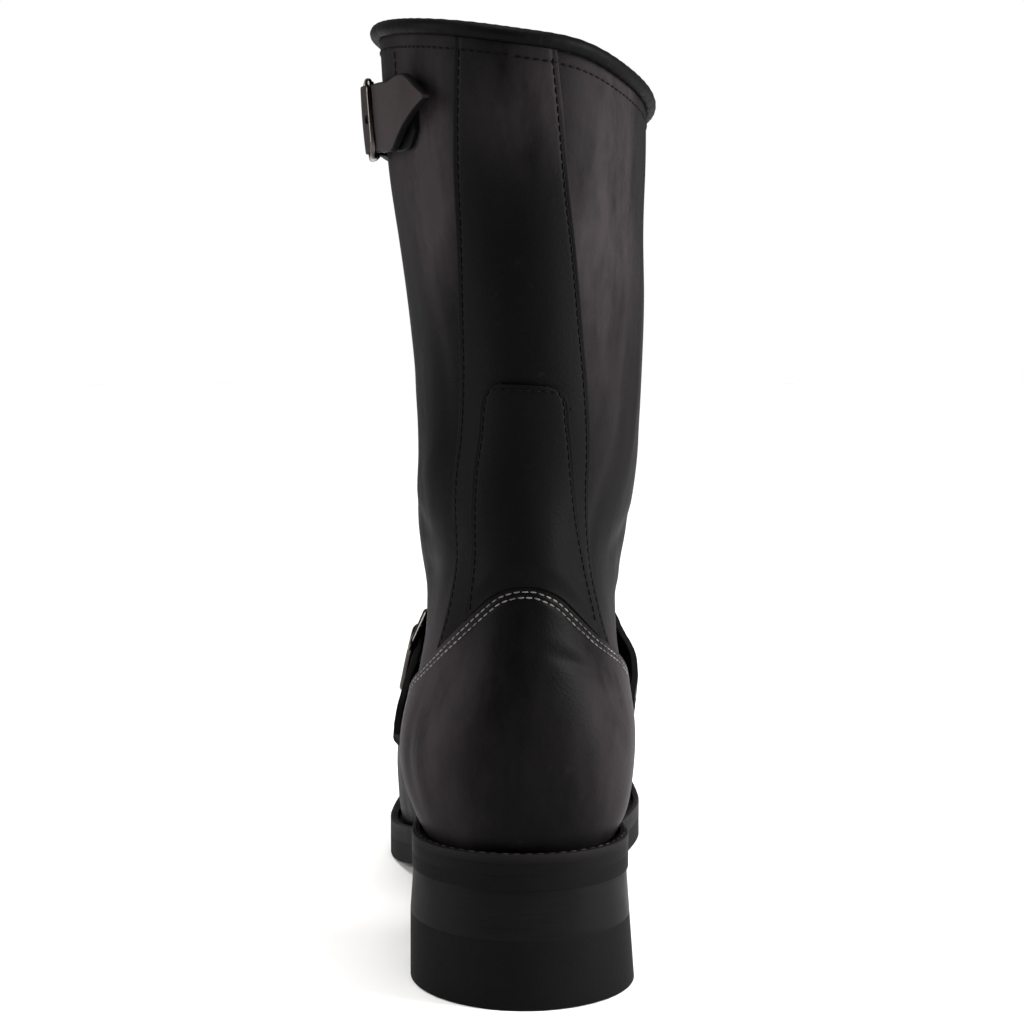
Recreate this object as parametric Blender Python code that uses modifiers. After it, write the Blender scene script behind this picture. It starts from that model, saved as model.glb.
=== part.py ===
"""Black engineer-style motorcycle boot for the left foot.

A hollow upper carries a counter, a vamp, a back strip and a rolled collar. It stands on an insole, a welt,
a midsole and an outsole with a stacked heel. An ankle strap and a top strap are drawn through centre-bar
buckles.

The tables are in millimetres and the meshes in metres. The origin is the middle of the heel's tread on the
floor. +Y runs to the toe, +X to the inner side of the foot and +Z up.
"""

import math
from collections import namedtuple

import bmesh
import bpy
from mathutils import Matrix, Vector

MM = 0.001
GAP = 0.3
OVERLAY_GAP = 0.7
STRIP_GAP = 0.4

# Driving sizes of the boot
HEEL_REAR = -36.5
TOE_TIP = 267.5
HEEL_BREAST = 43.0
HEEL_HALF = 37.5
BALL_LATERAL, BALL_MEDIAL = 54.4, 49.7
WAIST_LATERAL, WAIST_MEDIAL = 36.0, 29.0
TOE_IN = 5.0
COLLAR_LEAN = 12.5
COLLAR_WAVE = 2.0

# Thickness of each layer
UPPER_WALL = 2.2
OVERLAY = 1.8
BACK_STRIP = 1.4
BACK_PATCH = 0.9
WELT = 3.2
MIDSOLE = 3.4
INSOLE = 3.0
HEEL_LIFT = 22.5
STRAP = 2.6
CHAPE = 1.6

# Widths that the layers and straps show
HEEL_FLARE = 1.6
STACK_FLARE = 0.72
HEEL_SHIFT = 0.8
COLLAR_BEAD = 2.5
COLLAR_OVERHANG = 0.8
ANKLE_STRAP_WIDTH = 22.5
TOP_STRAP_WIDTH = 22.5
BUCKLE_WIRE = 1.05

# Mesh counts
AROUND = 40
RINGS_PER_ROW = 1.5
SOLE_STATIONS = 40
HEEL_STATIONS = 14
WELT_COLUMNS = 80
FIRST_TURN = 0.012
CORNER_STEPS = 4
HALVINGS = 30
SEARCH_STEPS = 80

# Small steps in turns and rows that the functions feel their way with
NORMAL_STEP_U, NORMAL_STEP_ROW = 0.004, 0.08
COLUMN_APART = 0.004
ROUTE_STEP = 0.002
SEARCH_REACH = 0.05

# Points of an overlay closer than this are one point, and thinner faces are closed
MERGE = 0.5
SLIVER = 0.05

# Upper, one row for each section from the sole's edge to the collar. The rear and front points lie on the
# boot's back line and on its toe, vamp and shin line. The half widths are at heel, waist and ball.
Ring = namedtuple(
    "Ring",
    "rear_y rear_z front_y front_z mid_x heel waist_lat waist_med ball_lat ball_med",
)
RINGS = [
    Ring(-29.8, 46.9, 259.8, 21.6, 0.0, 30.2, 29.8, 22.8, 46.8, 42.6),
    Ring(-32.4, 57.0, 263.5, 31.0, 0.0, 35.0, 34.5, 27.0, 49.0, 44.2),
    Ring(-33.8, 68.0, 263.8, 42.0, -0.8, 37.8, 37.2, 30.6, 48.8, 43.0),
    Ring(-34.5, 79.0, 259.5, 52.5, -1.1, 38.6, 38.3, 33.0, 46.6, 41.6),
    Ring(-34.2, 90.0, 250.0, 61.0, -0.9, 38.0, 38.0, 34.0, 43.0, 39.8),
    Ring(-32.8, 101.0, 233.0, 67.0, -0.4, 36.4, 36.8, 34.2, 39.0, 37.6),
    Ring(-30.8, 112.0, 210.0, 72.0, 0.0, 34.8, 35.4, 33.9, 36.2, 35.6),
    Ring(-28.8, 123.0, 185.5, 78.5, 0.0, 33.6, 34.2, 33.5, 34.2, 34.0),
    Ring(-27.0, 134.0, 163.0, 87.5, 0.0, 33.2, 33.5, 33.3, 32.8, 32.8),
    Ring(-25.9, 145.5, 143.5, 99.5, 0.0, 33.6, 33.6, 33.6, 32.6, 32.6),
    Ring(-25.2, 157.5, 127.5, 115.5, -0.2, 35.5, 35.5, 35.5, 34.5, 34.5),
    Ring(-25.0, 170.5, 116.0, 135.0, 0.3, 37.4, 37.4, 37.4, 37.0, 37.0),
    Ring(-25.3, 185.0, 109.5, 157.0, 1.9, 38.0, 38.0, 38.0, 38.0, 38.0),
    Ring(-26.1, 202.0, 106.8, 181.0, 2.3, 38.8, 38.8, 38.8, 38.8, 38.8),
    Ring(-27.5, 221.0, 106.5, 206.0, 1.5, 40.3, 40.3, 40.3, 40.3, 40.3),
    Ring(-29.4, 242.0, 107.5, 231.0, 0.2, 42.1, 42.1, 42.1, 42.1, 42.1),
    Ring(-31.8, 264.0, 109.0, 254.5, -1.6, 43.7, 43.7, 43.7, 43.7, 43.7),
    Ring(-34.2, 285.5, 110.8, 277.5, -2.4, 44.9, 44.9, 44.9, 44.9, 44.9),
    Ring(-36.0, 305.2, 112.0, 298.6, -3.0, 45.4, 45.4, 45.4, 45.4, 45.4),
]
TOP_ROW = len(RINGS) - 1
FOOT_ROW, SHAFT_ROW = 3.0, 11.0
FOLLOW_ROWS = 4.5
LEAN_ROW = 9.0
WAIST_AT, BALL_AT_LATERAL, BALL_AT_MEDIAL = 0.40, 0.65, 0.74
FOOT_REAR_ROUND, FOOT_FRONT_ROUND, SHAFT_ROUND = 0.125, 0.33, 0.5
TOE_BLUNT, SHAFT_BLUNT = 2.35, 2.0
TOE_IN_FROM = 0.55

# Sole from heel to toe: height of the outsole's underside over the floor, and the outsole's own thickness
Sole = namedtuple("Sole", "y under thick")
SOLE = [
    Sole(-40.0, 39.0, 4.6),
    Sole(HEEL_BREAST - 3.0, 36.2, 4.6),
    Sole(62.0, 29.0, 5.0),
    Sole(86.0, 15.0, 6.2),
    Sole(110.0, 7.0, 7.4),
    Sole(130.0, 2.0, 8.0),
    Sole(146.0, 0.0, 8.0),
    Sole(192.0, 0.0, 8.0),
    Sole(225.0, 2.4, 8.0),
    Sole(270.0, 9.6, 7.6),
]

# Upper edge of the counter on either side of the back seam, and throat line of the vamp
Edge = namedtuple("Edge", "u row")
COUNTER_EDGE = [
    Edge(0.0, 8.16),
    Edge(0.035, 7.98),
    Edge(0.06, 7.52),
    Edge(0.09, 6.8),
    Edge(0.115, 6.15),
    Edge(0.14, 5.4),
    Edge(0.17, 4.5),
    Edge(0.21, 3.6),
]
SIDE_SEAM = 0.21
SEAM_GAP = 0.0007
OVERLAY_FOOT = 0.12
UPPER_FOOT = 0.5
FLARE_CLEARANCE = 1.8
VAMP_EDGE = [
    Edge(0.21, 3.6),
    Edge(0.25, 4.3),
    Edge(0.30, 5.7),
    Edge(0.36, 7.5),
    Edge(0.42, 9.2),
    Edge(0.46, 10.2),
    Edge(0.50, 10.6),
]

# Side edges of the back strip and of the patch sewn on it, as turns round the boot from the back seam
Strip = namedtuple("Strip", "row lateral medial")
BACK_STRIP_EDGES = [
    Strip(5.0, -0.092, 0.104),
    Strip(8.0, -0.092, 0.100),
    Strip(10.5, -0.096, 0.085),
    Strip(13.0, -0.098, 0.069),
    Strip(15.5, -0.082, 0.055),
    Strip(18.0, -0.0625, 0.041),
]
STRIP_LOW_ROW, STRIP_TOP_ROW = 5.0, TOP_ROW - 0.1
STRIP_CLEARANCE = 0.09
STRIP_SPAN = (-0.105, 0.110)
PATCH_SPAN = (-0.076, 0.090)
PATCH_EDGES = [
    Strip(6.0, -0.070, 0.084),
    Strip(8.0, -0.069, 0.082),
    Strip(10.5, -0.067, 0.062),
    Strip(12.3, -0.066, 0.046),
    Strip(12.8, -0.058, 0.038),
    Strip(13.0, -0.040, 0.020),
]

# Straps: turns from the back seam, height of the inner face over the upper, share of the full width, share
# of the half width that the middle moves up. The ankle strap rises from either side to the instep and lies
# lower on the outer side, and the top strap runs along one row of the upper.
Hold = namedtuple("Hold", "u lift width shift", defaults=(1.0, 0.0))
STRAP_PIVOT_Y, STRAP_PIVOT_Z = 85.0, 92.0
STRAP_RISE_LATERAL, STRAP_RISE_MEDIAL, STRAP_RISE_FRONT = 0.60, 0.38, 0.75
STRAP_BLEND = 15.0
STRAP_DROP, STRAP_DROP_FROM, STRAP_DROP_TURN = 2.5, 0.55, 0.12
TOP_STRAP_ROW = 16.75
ANKLE_STRAP = [
    Hold(0.180, 3.6),
    Hold(0.200, 5.0),
    Hold(0.222, 5.4),
    Hold(0.243, 3.6),
    Hold(0.270, 1.8),
    Hold(0.320, 1.5),
    Hold(0.380, 2.4),
    Hold(0.440, 4.0),
    Hold(0.500, 4.5),
    Hold(0.560, 4.0),
    Hold(0.620, 2.4),
    Hold(0.690, 1.7),
    Hold(0.709, 2.0),
    Hold(0.724, 3.0),
    Hold(0.742, 4.4),
    Hold(0.757, 3.2),
    Hold(0.772, 2.7),
    Hold(0.788, 2.8),
    Hold(0.803, 3.4),
    Hold(0.814, 4.4, 0.9),
    Hold(0.822, 5.2, 0.35),
]
ANKLE_CHAPE = [
    Hold(0.748, 0.8),
    Hold(0.764, 0.7),
    Hold(0.780, 0.7),
]
TOP_STRAP = [
    Hold(0.640, 0.5),
    Hold(0.680, 0.8),
    Hold(0.715, 1.4),
    Hold(0.738, 2.0),
    Hold(0.757, 3.3),
    Hold(0.775, 4.6),
    Hold(0.793, 3.5),
    Hold(0.815, 2.5),
    Hold(0.845, 2.5),
    Hold(0.880, 2.6, 0.69, 0.51),
    Hold(0.900, 2.7, 0.28, 0.58),
    Hold(0.910, 2.8, 0.08, 0.60),
]
TOP_CHAPE = [
    Hold(0.7808, 0.6),
    Hold(0.815, 0.5),
    Hold(0.850, 0.5),
]
ANKLE_BUCKLE_AT = 0.742
TOP_BUCKLE_AT = 0.775
BUCKLE_REACH = 12.0
BUCKLE_SIDE_PLAY = 0.5
BUCKLE_PLAY = 0.8
BUCKLE_BAR = 1.0
BUCKLE_CORNER = 4.0
PRONG = 1.0
PRONG_KNEE = 4.2
PRONG_LIFT = 1.5
PRONG_TIP = 2.2
STRAP_HOLE = 3.0
HOLE_AT = 2.2

COLOURS = {
    "leather": ((0.022, 0.020, 0.020), 0.0, 0.45),
    "rubber": ((0.018, 0.018, 0.018), 0.0, 0.75),
    "sole_edge": ((0.028, 0.026, 0.025), 0.0, 0.55),
    "insole_board": ((0.24, 0.16, 0.09), 0.0, 0.8),
    "nickel": ((0.42, 0.40, 0.37), 1.0, 0.32),
}


def lerp(a, b, t):
    return a + (b - a) * t


def smooth(t):
    t = min(max(t, 0.0), 1.0)
    return t * t * (3.0 - 2.0 * t)


def table(rows, at, key=None):
    """Row of a table at a place between its rows, by a smooth curve through every column."""
    keys = [getattr(row, key) for row in rows] if key else list(range(len(rows)))
    at = min(max(at, keys[0]), keys[-1])
    last = len(rows) - 1
    low = max(index for index in range(last) if keys[index] <= at)
    high = low + 1
    span = keys[high] - keys[low]
    t = (at - keys[low]) / span
    before, after = max(low - 1, 0), min(high + 1, last)
    values = []
    for column in range(len(rows[0])):
        a, b = rows[low][column], rows[high][column]
        slope_a = (b - rows[before][column]) / (keys[high] - keys[before])
        slope_b = (rows[after][column] - a) / (keys[after] - keys[low])
        if slope_a * (b - a) <= 0.0:
            slope_a = 0.0
        if slope_b * (b - a) <= 0.0:
            slope_b = 0.0
        values.append(
            (2 * t**3 - 3 * t**2 + 1) * a
            + (t**3 - 2 * t**2 + t) * span * slope_a
            + (3 * t**2 - 2 * t**3) * b
            + (t**3 - t**2) * span * slope_b
        )
    return type(rows[0])(*values)


def inset(ring, step):
    """Ring drawn in by a step all round."""
    return ring._replace(
        rear_y=ring.rear_y + step,
        front_y=ring.front_y - step,
        heel=ring.heel - step,
        waist_lat=ring.waist_lat - step,
        waist_med=ring.waist_med - step,
        ball_lat=ring.ball_lat - step,
        ball_med=ring.ball_med - step,
    )


SOLE_RING = Ring(
    HEEL_REAR, 0.0, TOE_TIP, 0.0, 0.0, HEEL_HALF,
    WAIST_LATERAL, WAIST_MEDIAL, BALL_LATERAL, BALL_MEDIAL,
)


def outline(ring, row, u):
    """Plan of a ring: x, y and the share of its length, u turns from the back seam to the inner side."""
    turn = 2.0 * math.pi * u
    s = (1.0 - math.cos(turn)) / 2.0
    medial = math.sin(turn) >= 0.0
    shaft = smooth((row - FOOT_ROW) / (SHAFT_ROW - FOOT_ROW))
    rear_round = lerp(FOOT_REAR_ROUND, SHAFT_ROUND, shaft)
    front_round = lerp(FOOT_FRONT_ROUND, SHAFT_ROUND, shaft)
    blunt = lerp(TOE_BLUNT, SHAFT_BLUNT, shaft)
    waist = ring.waist_med if medial else ring.waist_lat
    ball = ring.ball_med if medial else ring.ball_lat
    if s < WAIST_AT:
        half = lerp(ring.heel, waist, smooth(s / WAIST_AT))
    else:
        ball_at = BALL_AT_MEDIAL if medial else BALL_AT_LATERAL
        half = lerp(waist, ball, smooth((s - WAIST_AT) / (ball_at - WAIST_AT)))
    if s < rear_round:
        half *= max(0.0, 1.0 - ((rear_round - s) / rear_round) ** 2) ** 0.5
    elif s > 1.0 - front_round:
        along = (s - 1.0 + front_round) / front_round
        half *= max(0.0, 1.0 - along**blunt) ** (1.0 / blunt)
    middle = ring.mid_x + TOE_IN * smooth((s - TOE_IN_FROM) / (1.0 - TOE_IN_FROM)) * (1.0 - shaft)
    return middle + (half if medial else -half), lerp(ring.rear_y, ring.front_y, s), s


def under(y):
    return table(SOLE, y, "y").under


def outsole_top(y):
    sole = table(SOLE, y, "y")
    return sole.under + sole.thick


def midsole_low(y):
    return outsole_top(y) + GAP


def midsole_top(y):
    return midsole_low(y) + MIDSOLE


def seat(y):
    """Height of whatever stands on the midsole."""
    return midsole_top(y) + GAP


RING_CACHE = {}


def upper_point(u, row):
    """Point of the upper's outer face."""
    key = round(row, 6)
    if key not in RING_CACHE:
        RING_CACHE[key] = table(RINGS, row)
    ring = RING_CACHE[key]
    x, y, s = outline(ring, row, u)
    z = lerp(ring.rear_z, ring.front_z, s)
    follow = 1.0 - smooth(row / FOLLOW_ROWS)
    z += follow * (seat(y) + UPPER_FOOT - lerp(RINGS[0].rear_z, RINGS[0].front_z, s))
    lean = COLLAR_LEAN * smooth((row - LEAN_ROW) / (TOP_ROW - LEAN_ROW))
    z -= lean * (x - ring.mid_x) / ring.waist_med
    z += COLLAR_WAVE * lean / COLLAR_LEAN * math.sin(4.0 * math.pi * u)
    return Vector((x, y, z))


def upper_normal(u, row):
    low, high = max(row - NORMAL_STEP_ROW, 0.0), min(row + NORMAL_STEP_ROW, TOP_ROW)
    across = upper_point(u + NORMAL_STEP_U, row) - upper_point(u - NORMAL_STEP_U, row)
    along = upper_point(u, high) - upper_point(u, low)
    return across.cross(along).normalized()


def on_upper(u, row, lift):
    return upper_point(u, row) + upper_normal(u, row) * lift


def on_facets(u, row, lift):
    """Point over the upper's flat facets, so that a layer keeps its gap to the faceted solid."""
    column, ring = math.floor(u * AROUND), min(math.floor(row * RINGS_PER_ROW), len(ROWS) - 2)
    across, along = u * AROUND - column, row * RINGS_PER_ROW - ring
    corners = [(column + c, ring + r) for r in (0, 1) for c in (0, 1)]
    points = [upper_point(c / AROUND, r / RINGS_PER_ROW) for c, r in corners]
    normals = [upper_normal(c / AROUND, r / RINGS_PER_ROW) for c, r in corners]
    point = points[0].lerp(points[1], across).lerp(points[2].lerp(points[3], across), along)
    normal = normals[0].lerp(normals[1], across).lerp(normals[2].lerp(normals[3], across), along)
    return point + normal.normalized() * lift


def edge_row(edges, u):
    """Row of an overlay's upper edge, the same on both sides of the boot."""
    u = abs((u + 0.5) % 1.0 - 0.5)
    return table(edges, u, "u").row


def material(name, kind):
    colour, metallic, roughness = COLOURS[kind]
    made = bpy.data.materials.new(name + "_" + kind)
    made.use_nodes = True
    shader = made.node_tree.nodes["Principled BSDF"]
    shader.inputs["Base Color"].default_value = (*colour, 1.0)
    shader.inputs["Metallic"].default_value = metallic
    shader.inputs["Roughness"].default_value = roughness
    return made


def add_object(name, mesh, kind=None):
    """Object in the boot's collection, or a hidden cutter when it has no material."""
    made = bpy.data.objects.new(name, mesh)
    if kind:
        BOOT.objects.link(made)
        made.data.materials.append(material(name, kind))
    else:
        CUTTERS.objects.link(made)
        made.hide_render = True
        made.display_type = "WIRE"
    return made


def mesh_from(name, bm):
    bmesh.ops.scale(bm, vec=(MM, MM, MM), verts=bm.verts)
    mesh = bpy.data.meshes.new(name)
    bm.to_mesh(mesh)
    bm.free()
    return mesh


def loft(bm, loops, closed):
    """Quads between neighbouring rows of points. A closed row joins its last point to its first."""
    rows = [[bm.verts.new(point) for point in loop] for loop in loops]
    for low, high in zip(rows, rows[1:]):
        count = len(low)
        for index in range(count if closed else count - 1):
            after = (index + 1) % count
            bm.faces.new((low[index], low[after], high[after], high[index]))
    return rows


def thicken(made, thickness, outward):
    solid = made.modifiers.new("Wall", "SOLIDIFY")
    solid.thickness = thickness * MM
    solid.offset = 1.0 if outward else -1.0
    solid.use_even_offset = False
    return solid


COLUMNS = [index / AROUND for index in range(AROUND)]
ROWS = [index / RINGS_PER_ROW for index in range(int(TOP_ROW * RINGS_PER_ROW) + 1)]


def build_upper():
    bm = bmesh.new()
    loft(bm, [[upper_point(u, row) for u in COLUMNS] for row in ROWS], closed=True)
    bmesh.ops.triangulate(bm, faces=bm.faces, quad_method="FIXED")
    made = add_object("upper", mesh_from("upper", bm), "leather")
    thicken(made, UPPER_WALL, outward=False)


def overlay(name, columns, rows, trim, lift, thickness):
    """Layer on the upper. trim turns a place on the upper's own grid into one inside the layer's edges."""
    loops = []
    for row in rows:
        loops.append([on_facets(*trim(u, row), lift) for u in columns])
    bm = bmesh.new()
    loft(bm, loops, closed=False)
    bmesh.ops.remove_doubles(bm, verts=bm.verts, dist=MERGE)
    bmesh.ops.dissolve_degenerate(bm, edges=bm.edges, dist=SLIVER)
    bmesh.ops.triangulate(bm, faces=bm.faces, quad_method="FIXED")
    made = add_object(name, mesh_from(name, bm), "leather")
    thicken(made, thickness, outward=True)


def columns_between(low, high):
    every = [index / AROUND for index in range(-AROUND, AROUND + 1)]
    return [low] + [u for u in every if low + COLUMN_APART < u < high - COLUMN_APART] + [high]


def build_overlays():
    top = max(edge.row for edge in COUNTER_EDGE)
    rows = [row for row in ROWS if row < top] + [top]
    overlay(
        "counter", columns_between(-SIDE_SEAM, SIDE_SEAM), rows,
        lambda u, row: (u, min(max(row, OVERLAY_FOOT), edge_row(COUNTER_EDGE, u))), OVERLAY_GAP, OVERLAY,
    )
    seam = SIDE_SEAM + SEAM_GAP
    top = max(edge.row for edge in VAMP_EDGE)
    rows = [row for row in ROWS if row < top] + [top]
    overlay(
        "vamp", columns_between(seam, 1.0 - seam), rows,
        lambda u, row: (u, min(max(row, OVERLAY_FOOT), edge_row(VAMP_EDGE, u))), OVERLAY_GAP, OVERLAY,
    )

    def trim_to(strips, top_row):
        def trim(u, row):
            row = min(max(row, edge_row(COUNTER_EDGE, u) + STRIP_CLEARANCE), top_row)
            strip = table(strips, row, "row")
            u = min(max(u, strip.lateral), strip.medial)
            return u, max(row, min(edge_row(COUNTER_EDGE, u) + STRIP_CLEARANCE, top_row))
        return trim

    rows = [row for row in ROWS if STRIP_LOW_ROW < row < STRIP_TOP_ROW] + [STRIP_TOP_ROW]
    overlay(
        "back_strip", columns_between(*STRIP_SPAN), rows,
        trim_to(BACK_STRIP_EDGES, STRIP_TOP_ROW), STRIP_GAP, BACK_STRIP,
    )
    top = PATCH_EDGES[-1].row
    rows = [row for row in ROWS if STRIP_LOW_ROW < row < top] + [top]
    overlay(
        "back_patch", columns_between(*PATCH_SPAN), rows,
        trim_to(PATCH_EDGES, top), STRIP_GAP + BACK_STRIP + STRIP_GAP, BACK_PATCH,
    )


def build_collar():
    points = []
    for u in COLUMNS:
        points.append(on_upper(u, TOP_ROW, COLLAR_OVERHANG) + Vector((0.0, 0.0, COLLAR_BEAD + GAP)))
    wire("collar_binding", points, COLLAR_BEAD, True, "leather")


def plate(name, low_ring, high_ring, low, high, kind, end=1.0, stations=SOLE_STATIONS):
    """Layer of the sole from its rear end to a share of its length, low and high are heights along y."""
    last = math.acos(1.0 - 2.0 * end) / (2.0 * math.pi) if end < 1.0 else 0.5 - FIRST_TURN
    loops = []
    for index in range(stations + 1):
        u = lerp(FIRST_TURN, last, index / stations)
        loop = []
        for ring, height, turn in (
            (low_ring, low, -u), (low_ring, low, u), (high_ring, high, u), (high_ring, high, -u),
        ):
            x, y, s = outline(ring, 0.0, turn)
            loop.append((x, y, height(y)))
        loops.append(loop)
    bm = bmesh.new()
    rows = loft(bm, loops, closed=True)
    bm.faces.new(reversed(rows[0]))
    bm.faces.new(rows[-1])
    bmesh.ops.recalc_face_normals(bm, faces=bm.faces)
    return add_object(name, mesh_from(name, bm), kind)


def build_welt():
    inner = inset(RINGS[0], -(OVERLAY_GAP + OVERLAY + GAP + FLARE_CLEARANCE))
    loops = []
    for u in [index / WELT_COLUMNS for index in range(WELT_COLUMNS)]:
        loop = []
        for ring, rise in ((inner, 0.0), (SOLE_RING, 0.0), (SOLE_RING, WELT), (inner, WELT)):
            x, y, s = outline(ring, 0.0, u)
            loop.append((x, y, seat(y) + rise))
        loops.append(loop)
    bm = bmesh.new()
    loft(bm, loops + loops[:1], closed=True)
    bmesh.ops.remove_doubles(bm, verts=bm.verts, dist=SLIVER)
    bmesh.ops.recalc_face_normals(bm, faces=bm.faces)
    add_object("welt", mesh_from("welt", bm), "sole_edge")


def build_sole():
    plate("outsole", SOLE_RING, SOLE_RING, under, outsole_top, "rubber")
    plate("midsole", SOLE_RING, SOLE_RING, midsole_low, midsole_top, "sole_edge")
    build_welt()
    board = inset(RINGS[0], UPPER_WALL + GAP + 2.0 * UPPER_FOOT)
    plate("insole", board, board, seat, lambda y: seat(y) + INSOLE, "insole_board")
    breast = (HEEL_BREAST - HEEL_REAR) / (TOE_TIP - HEEL_REAR)
    waistline = inset(SOLE_RING, -STACK_FLARE)
    foot = inset(SOLE_RING, -HEEL_FLARE)._replace(mid_x=HEEL_SHIFT)
    plate(
        "heel_stack", waistline, SOLE_RING,
        lambda y: HEEL_LIFT + GAP, lambda y: under(y) - GAP, "sole_edge", breast, HEEL_STATIONS,
    )
    plate("heel_lift", foot, waistline, lambda y: 0.0, lambda y: HEEL_LIFT, "rubber", breast, HEEL_STATIONS)


def wire(name, points, radius, closed, kind=None, sides=8):
    """Round bar along points."""
    curve = bpy.data.curves.new(name, "CURVE")
    curve.dimensions = "3D"
    curve.bevel_mode = "ROUND"
    curve.bevel_depth = radius * MM
    curve.bevel_resolution = sides // 2 - 2
    curve.use_fill_caps = True
    spline = curve.splines.new("POLY")
    spline.points.add(len(points) - 1)
    for slot, point in zip(spline.points, points):
        slot.co = (*(Vector(point) * MM), 1.0)
    spline.use_cyclic_u = closed
    source = bpy.data.objects.new(name + "_path", curve)
    CUTTERS.objects.link(source)
    bpy.context.view_layer.update()
    mesh = bpy.data.meshes.new_from_object(source.evaluated_get(bpy.context.evaluated_depsgraph_get()))
    bpy.data.objects.remove(source)
    mesh.name = name
    return add_object(name, mesh, kind)


def combine(made, other, operation):
    cut = made.modifiers.new(other.name, "BOOLEAN")
    cut.operation = operation
    cut.solver = "EXACT"
    cut.object = other


def top_row(u):
    return TOP_STRAP_ROW


def ankle_row(u):
    """Row of the upper at the ankle strap's height over a turn, found by halving."""
    side = STRAP_RISE_MEDIAL if u < 0.5 else STRAP_RISE_LATERAL
    pivot = STRAP_PIVOT_Z - STRAP_DROP * smooth((u - STRAP_DROP_FROM) / STRAP_DROP_TURN)
    low, high = 0.0, TOP_ROW
    for _ in range(HALVINGS):
        middle = (low + high) / 2.0
        point = upper_point(u, middle)
        past = point.y - STRAP_PIVOT_Y
        bend = math.hypot(past, STRAP_BLEND) - STRAP_BLEND
        height = pivot + (STRAP_RISE_FRONT + side) / 2.0 * past + (STRAP_RISE_FRONT - side) / 2.0 * bend
        if point.z < height:
            low = middle
        else:
            high = middle
    return low


def route_frame(holds, row_at, u):
    """Point on a strap's inner face with its directions along the strap, across it and off the boot."""

    def point(turn):
        return on_upper(turn, row_at(turn), table(holds, turn, "u").lift)

    low, high = max(u - ROUTE_STEP, holds[0].u), min(u + ROUTE_STEP, holds[-1].u)
    along = (point(high) - point(low)).normalized()
    across = upper_normal(u, row_at(u)).cross(along).normalized()
    return point(u), along, across, along.cross(across).normalized()


def build_strap(name, holds, row_at, width, thickness, per_step):
    """Flat leather strap, four corners at each station."""
    turns = []
    for low, high in zip(holds, holds[1:]):
        turns += [lerp(low.u, high.u, index / per_step) for index in range(per_step)]
    loops = []
    for u in turns + [holds[-1].u]:
        middle, along, across, off = route_frame(holds, row_at, u)
        hold = table(holds, u, "u")
        half = width / 2.0 * hold.width
        middle += across * width / 2.0 * hold.shift
        loops.append([
            middle - across * half, middle + across * half,
            middle + across * half + off * thickness, middle - across * half + off * thickness,
        ])
    bm = bmesh.new()
    rows = loft(bm, loops, closed=True)
    bm.faces.new(reversed(rows[0]))
    bm.faces.new(rows[-1])
    bmesh.ops.recalc_face_normals(bm, faces=bm.faces)
    return add_object(name, mesh_from(name, bm), "leather")


def build_buckle(prefix, holds, row_at, at, width, strap):
    """Centre-bar frame over a strap, with a prong through the strap's hole."""
    origin, along, across, off = route_frame(holds, row_at, at)

    def place(a, b, c):
        return origin + along * a + across * b + off * c

    def strap_height(reach):
        shares = [step / SEARCH_STEPS for step in range(SEARCH_STEPS + 1)]
        tried = [lerp(at - SEARCH_REACH, at + SEARCH_REACH, share) for share in shares]
        best = min(tried, key=lambda u: abs((route_frame(holds, row_at, u)[0] - origin).dot(along) - reach))
        point, _, _, normal = route_frame(holds, row_at, best)
        return (point + normal * STRAP - origin).dot(off)

    rail = width / 2.0 + BUCKLE_SIDE_PLAY + BUCKLE_WIRE
    ends = {sign: strap_height(sign * BUCKLE_REACH) + BUCKLE_PLAY + BUCKLE_WIRE for sign in (-1, 1)}
    ring = []
    for sign_a, sign_b in ((1, -1), (1, 1), (-1, 1), (-1, -1)):
        for step in range(CORNER_STEPS + 1):
            swing = math.radians(90.0 * step / CORNER_STEPS)
            if sign_a * sign_b < 0:
                swing = math.radians(90.0) - swing
            a = sign_a * (BUCKLE_REACH - BUCKLE_CORNER * (1.0 - math.cos(swing)))
            b = sign_b * (rail - BUCKLE_CORNER * (1.0 - math.sin(swing)))
            height = lerp(ends[-1], ends[1], (a / BUCKLE_REACH + 1.0) / 2.0)
            ring.append(place(a, b, height))
    frame = wire(prefix + "_buckle", ring, BUCKLE_WIRE, True, "nickel")
    rail_height = (ends[-1] + ends[1]) / 2.0
    bar_height = -BUCKLE_PLAY - BUCKLE_BAR
    bar = wire(
        prefix + "_bar",
        [place(0, rail, rail_height), place(0, rail, bar_height), place(0, -rail, bar_height),
         place(0, -rail, rail_height)],
        BUCKLE_BAR, False,
    )
    combine(frame, bar, "UNION")
    rest = ends[-1] + BUCKLE_WIRE + GAP + PRONG
    wire(
        prefix + "_prong",
        [place(-PRONG, 0, PRONG), place(-HOLE_AT, 0, STRAP), place(-PRONG_KNEE, 0, STRAP + PRONG_LIFT),
         place(-BUCKLE_REACH, 0, rest), place(-BUCKLE_REACH - PRONG_TIP, 0, rest)],
        PRONG, False, "nickel",
    )
    bm = bmesh.new()
    turned = Matrix((along, across, off)).transposed().to_4x4()
    bmesh.ops.create_cone(
        bm, cap_ends=True, segments=12, radius1=STRAP_HOLE, radius2=STRAP_HOLE, depth=STRAP * 4.0,
        matrix=Matrix.Translation(place(-HOLE_AT, 0, STRAP / 2.0)) @ turned,
    )
    combine(strap, add_object(prefix + "_hole", mesh_from(prefix + "_hole", bm)), "DIFFERENCE")


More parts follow.
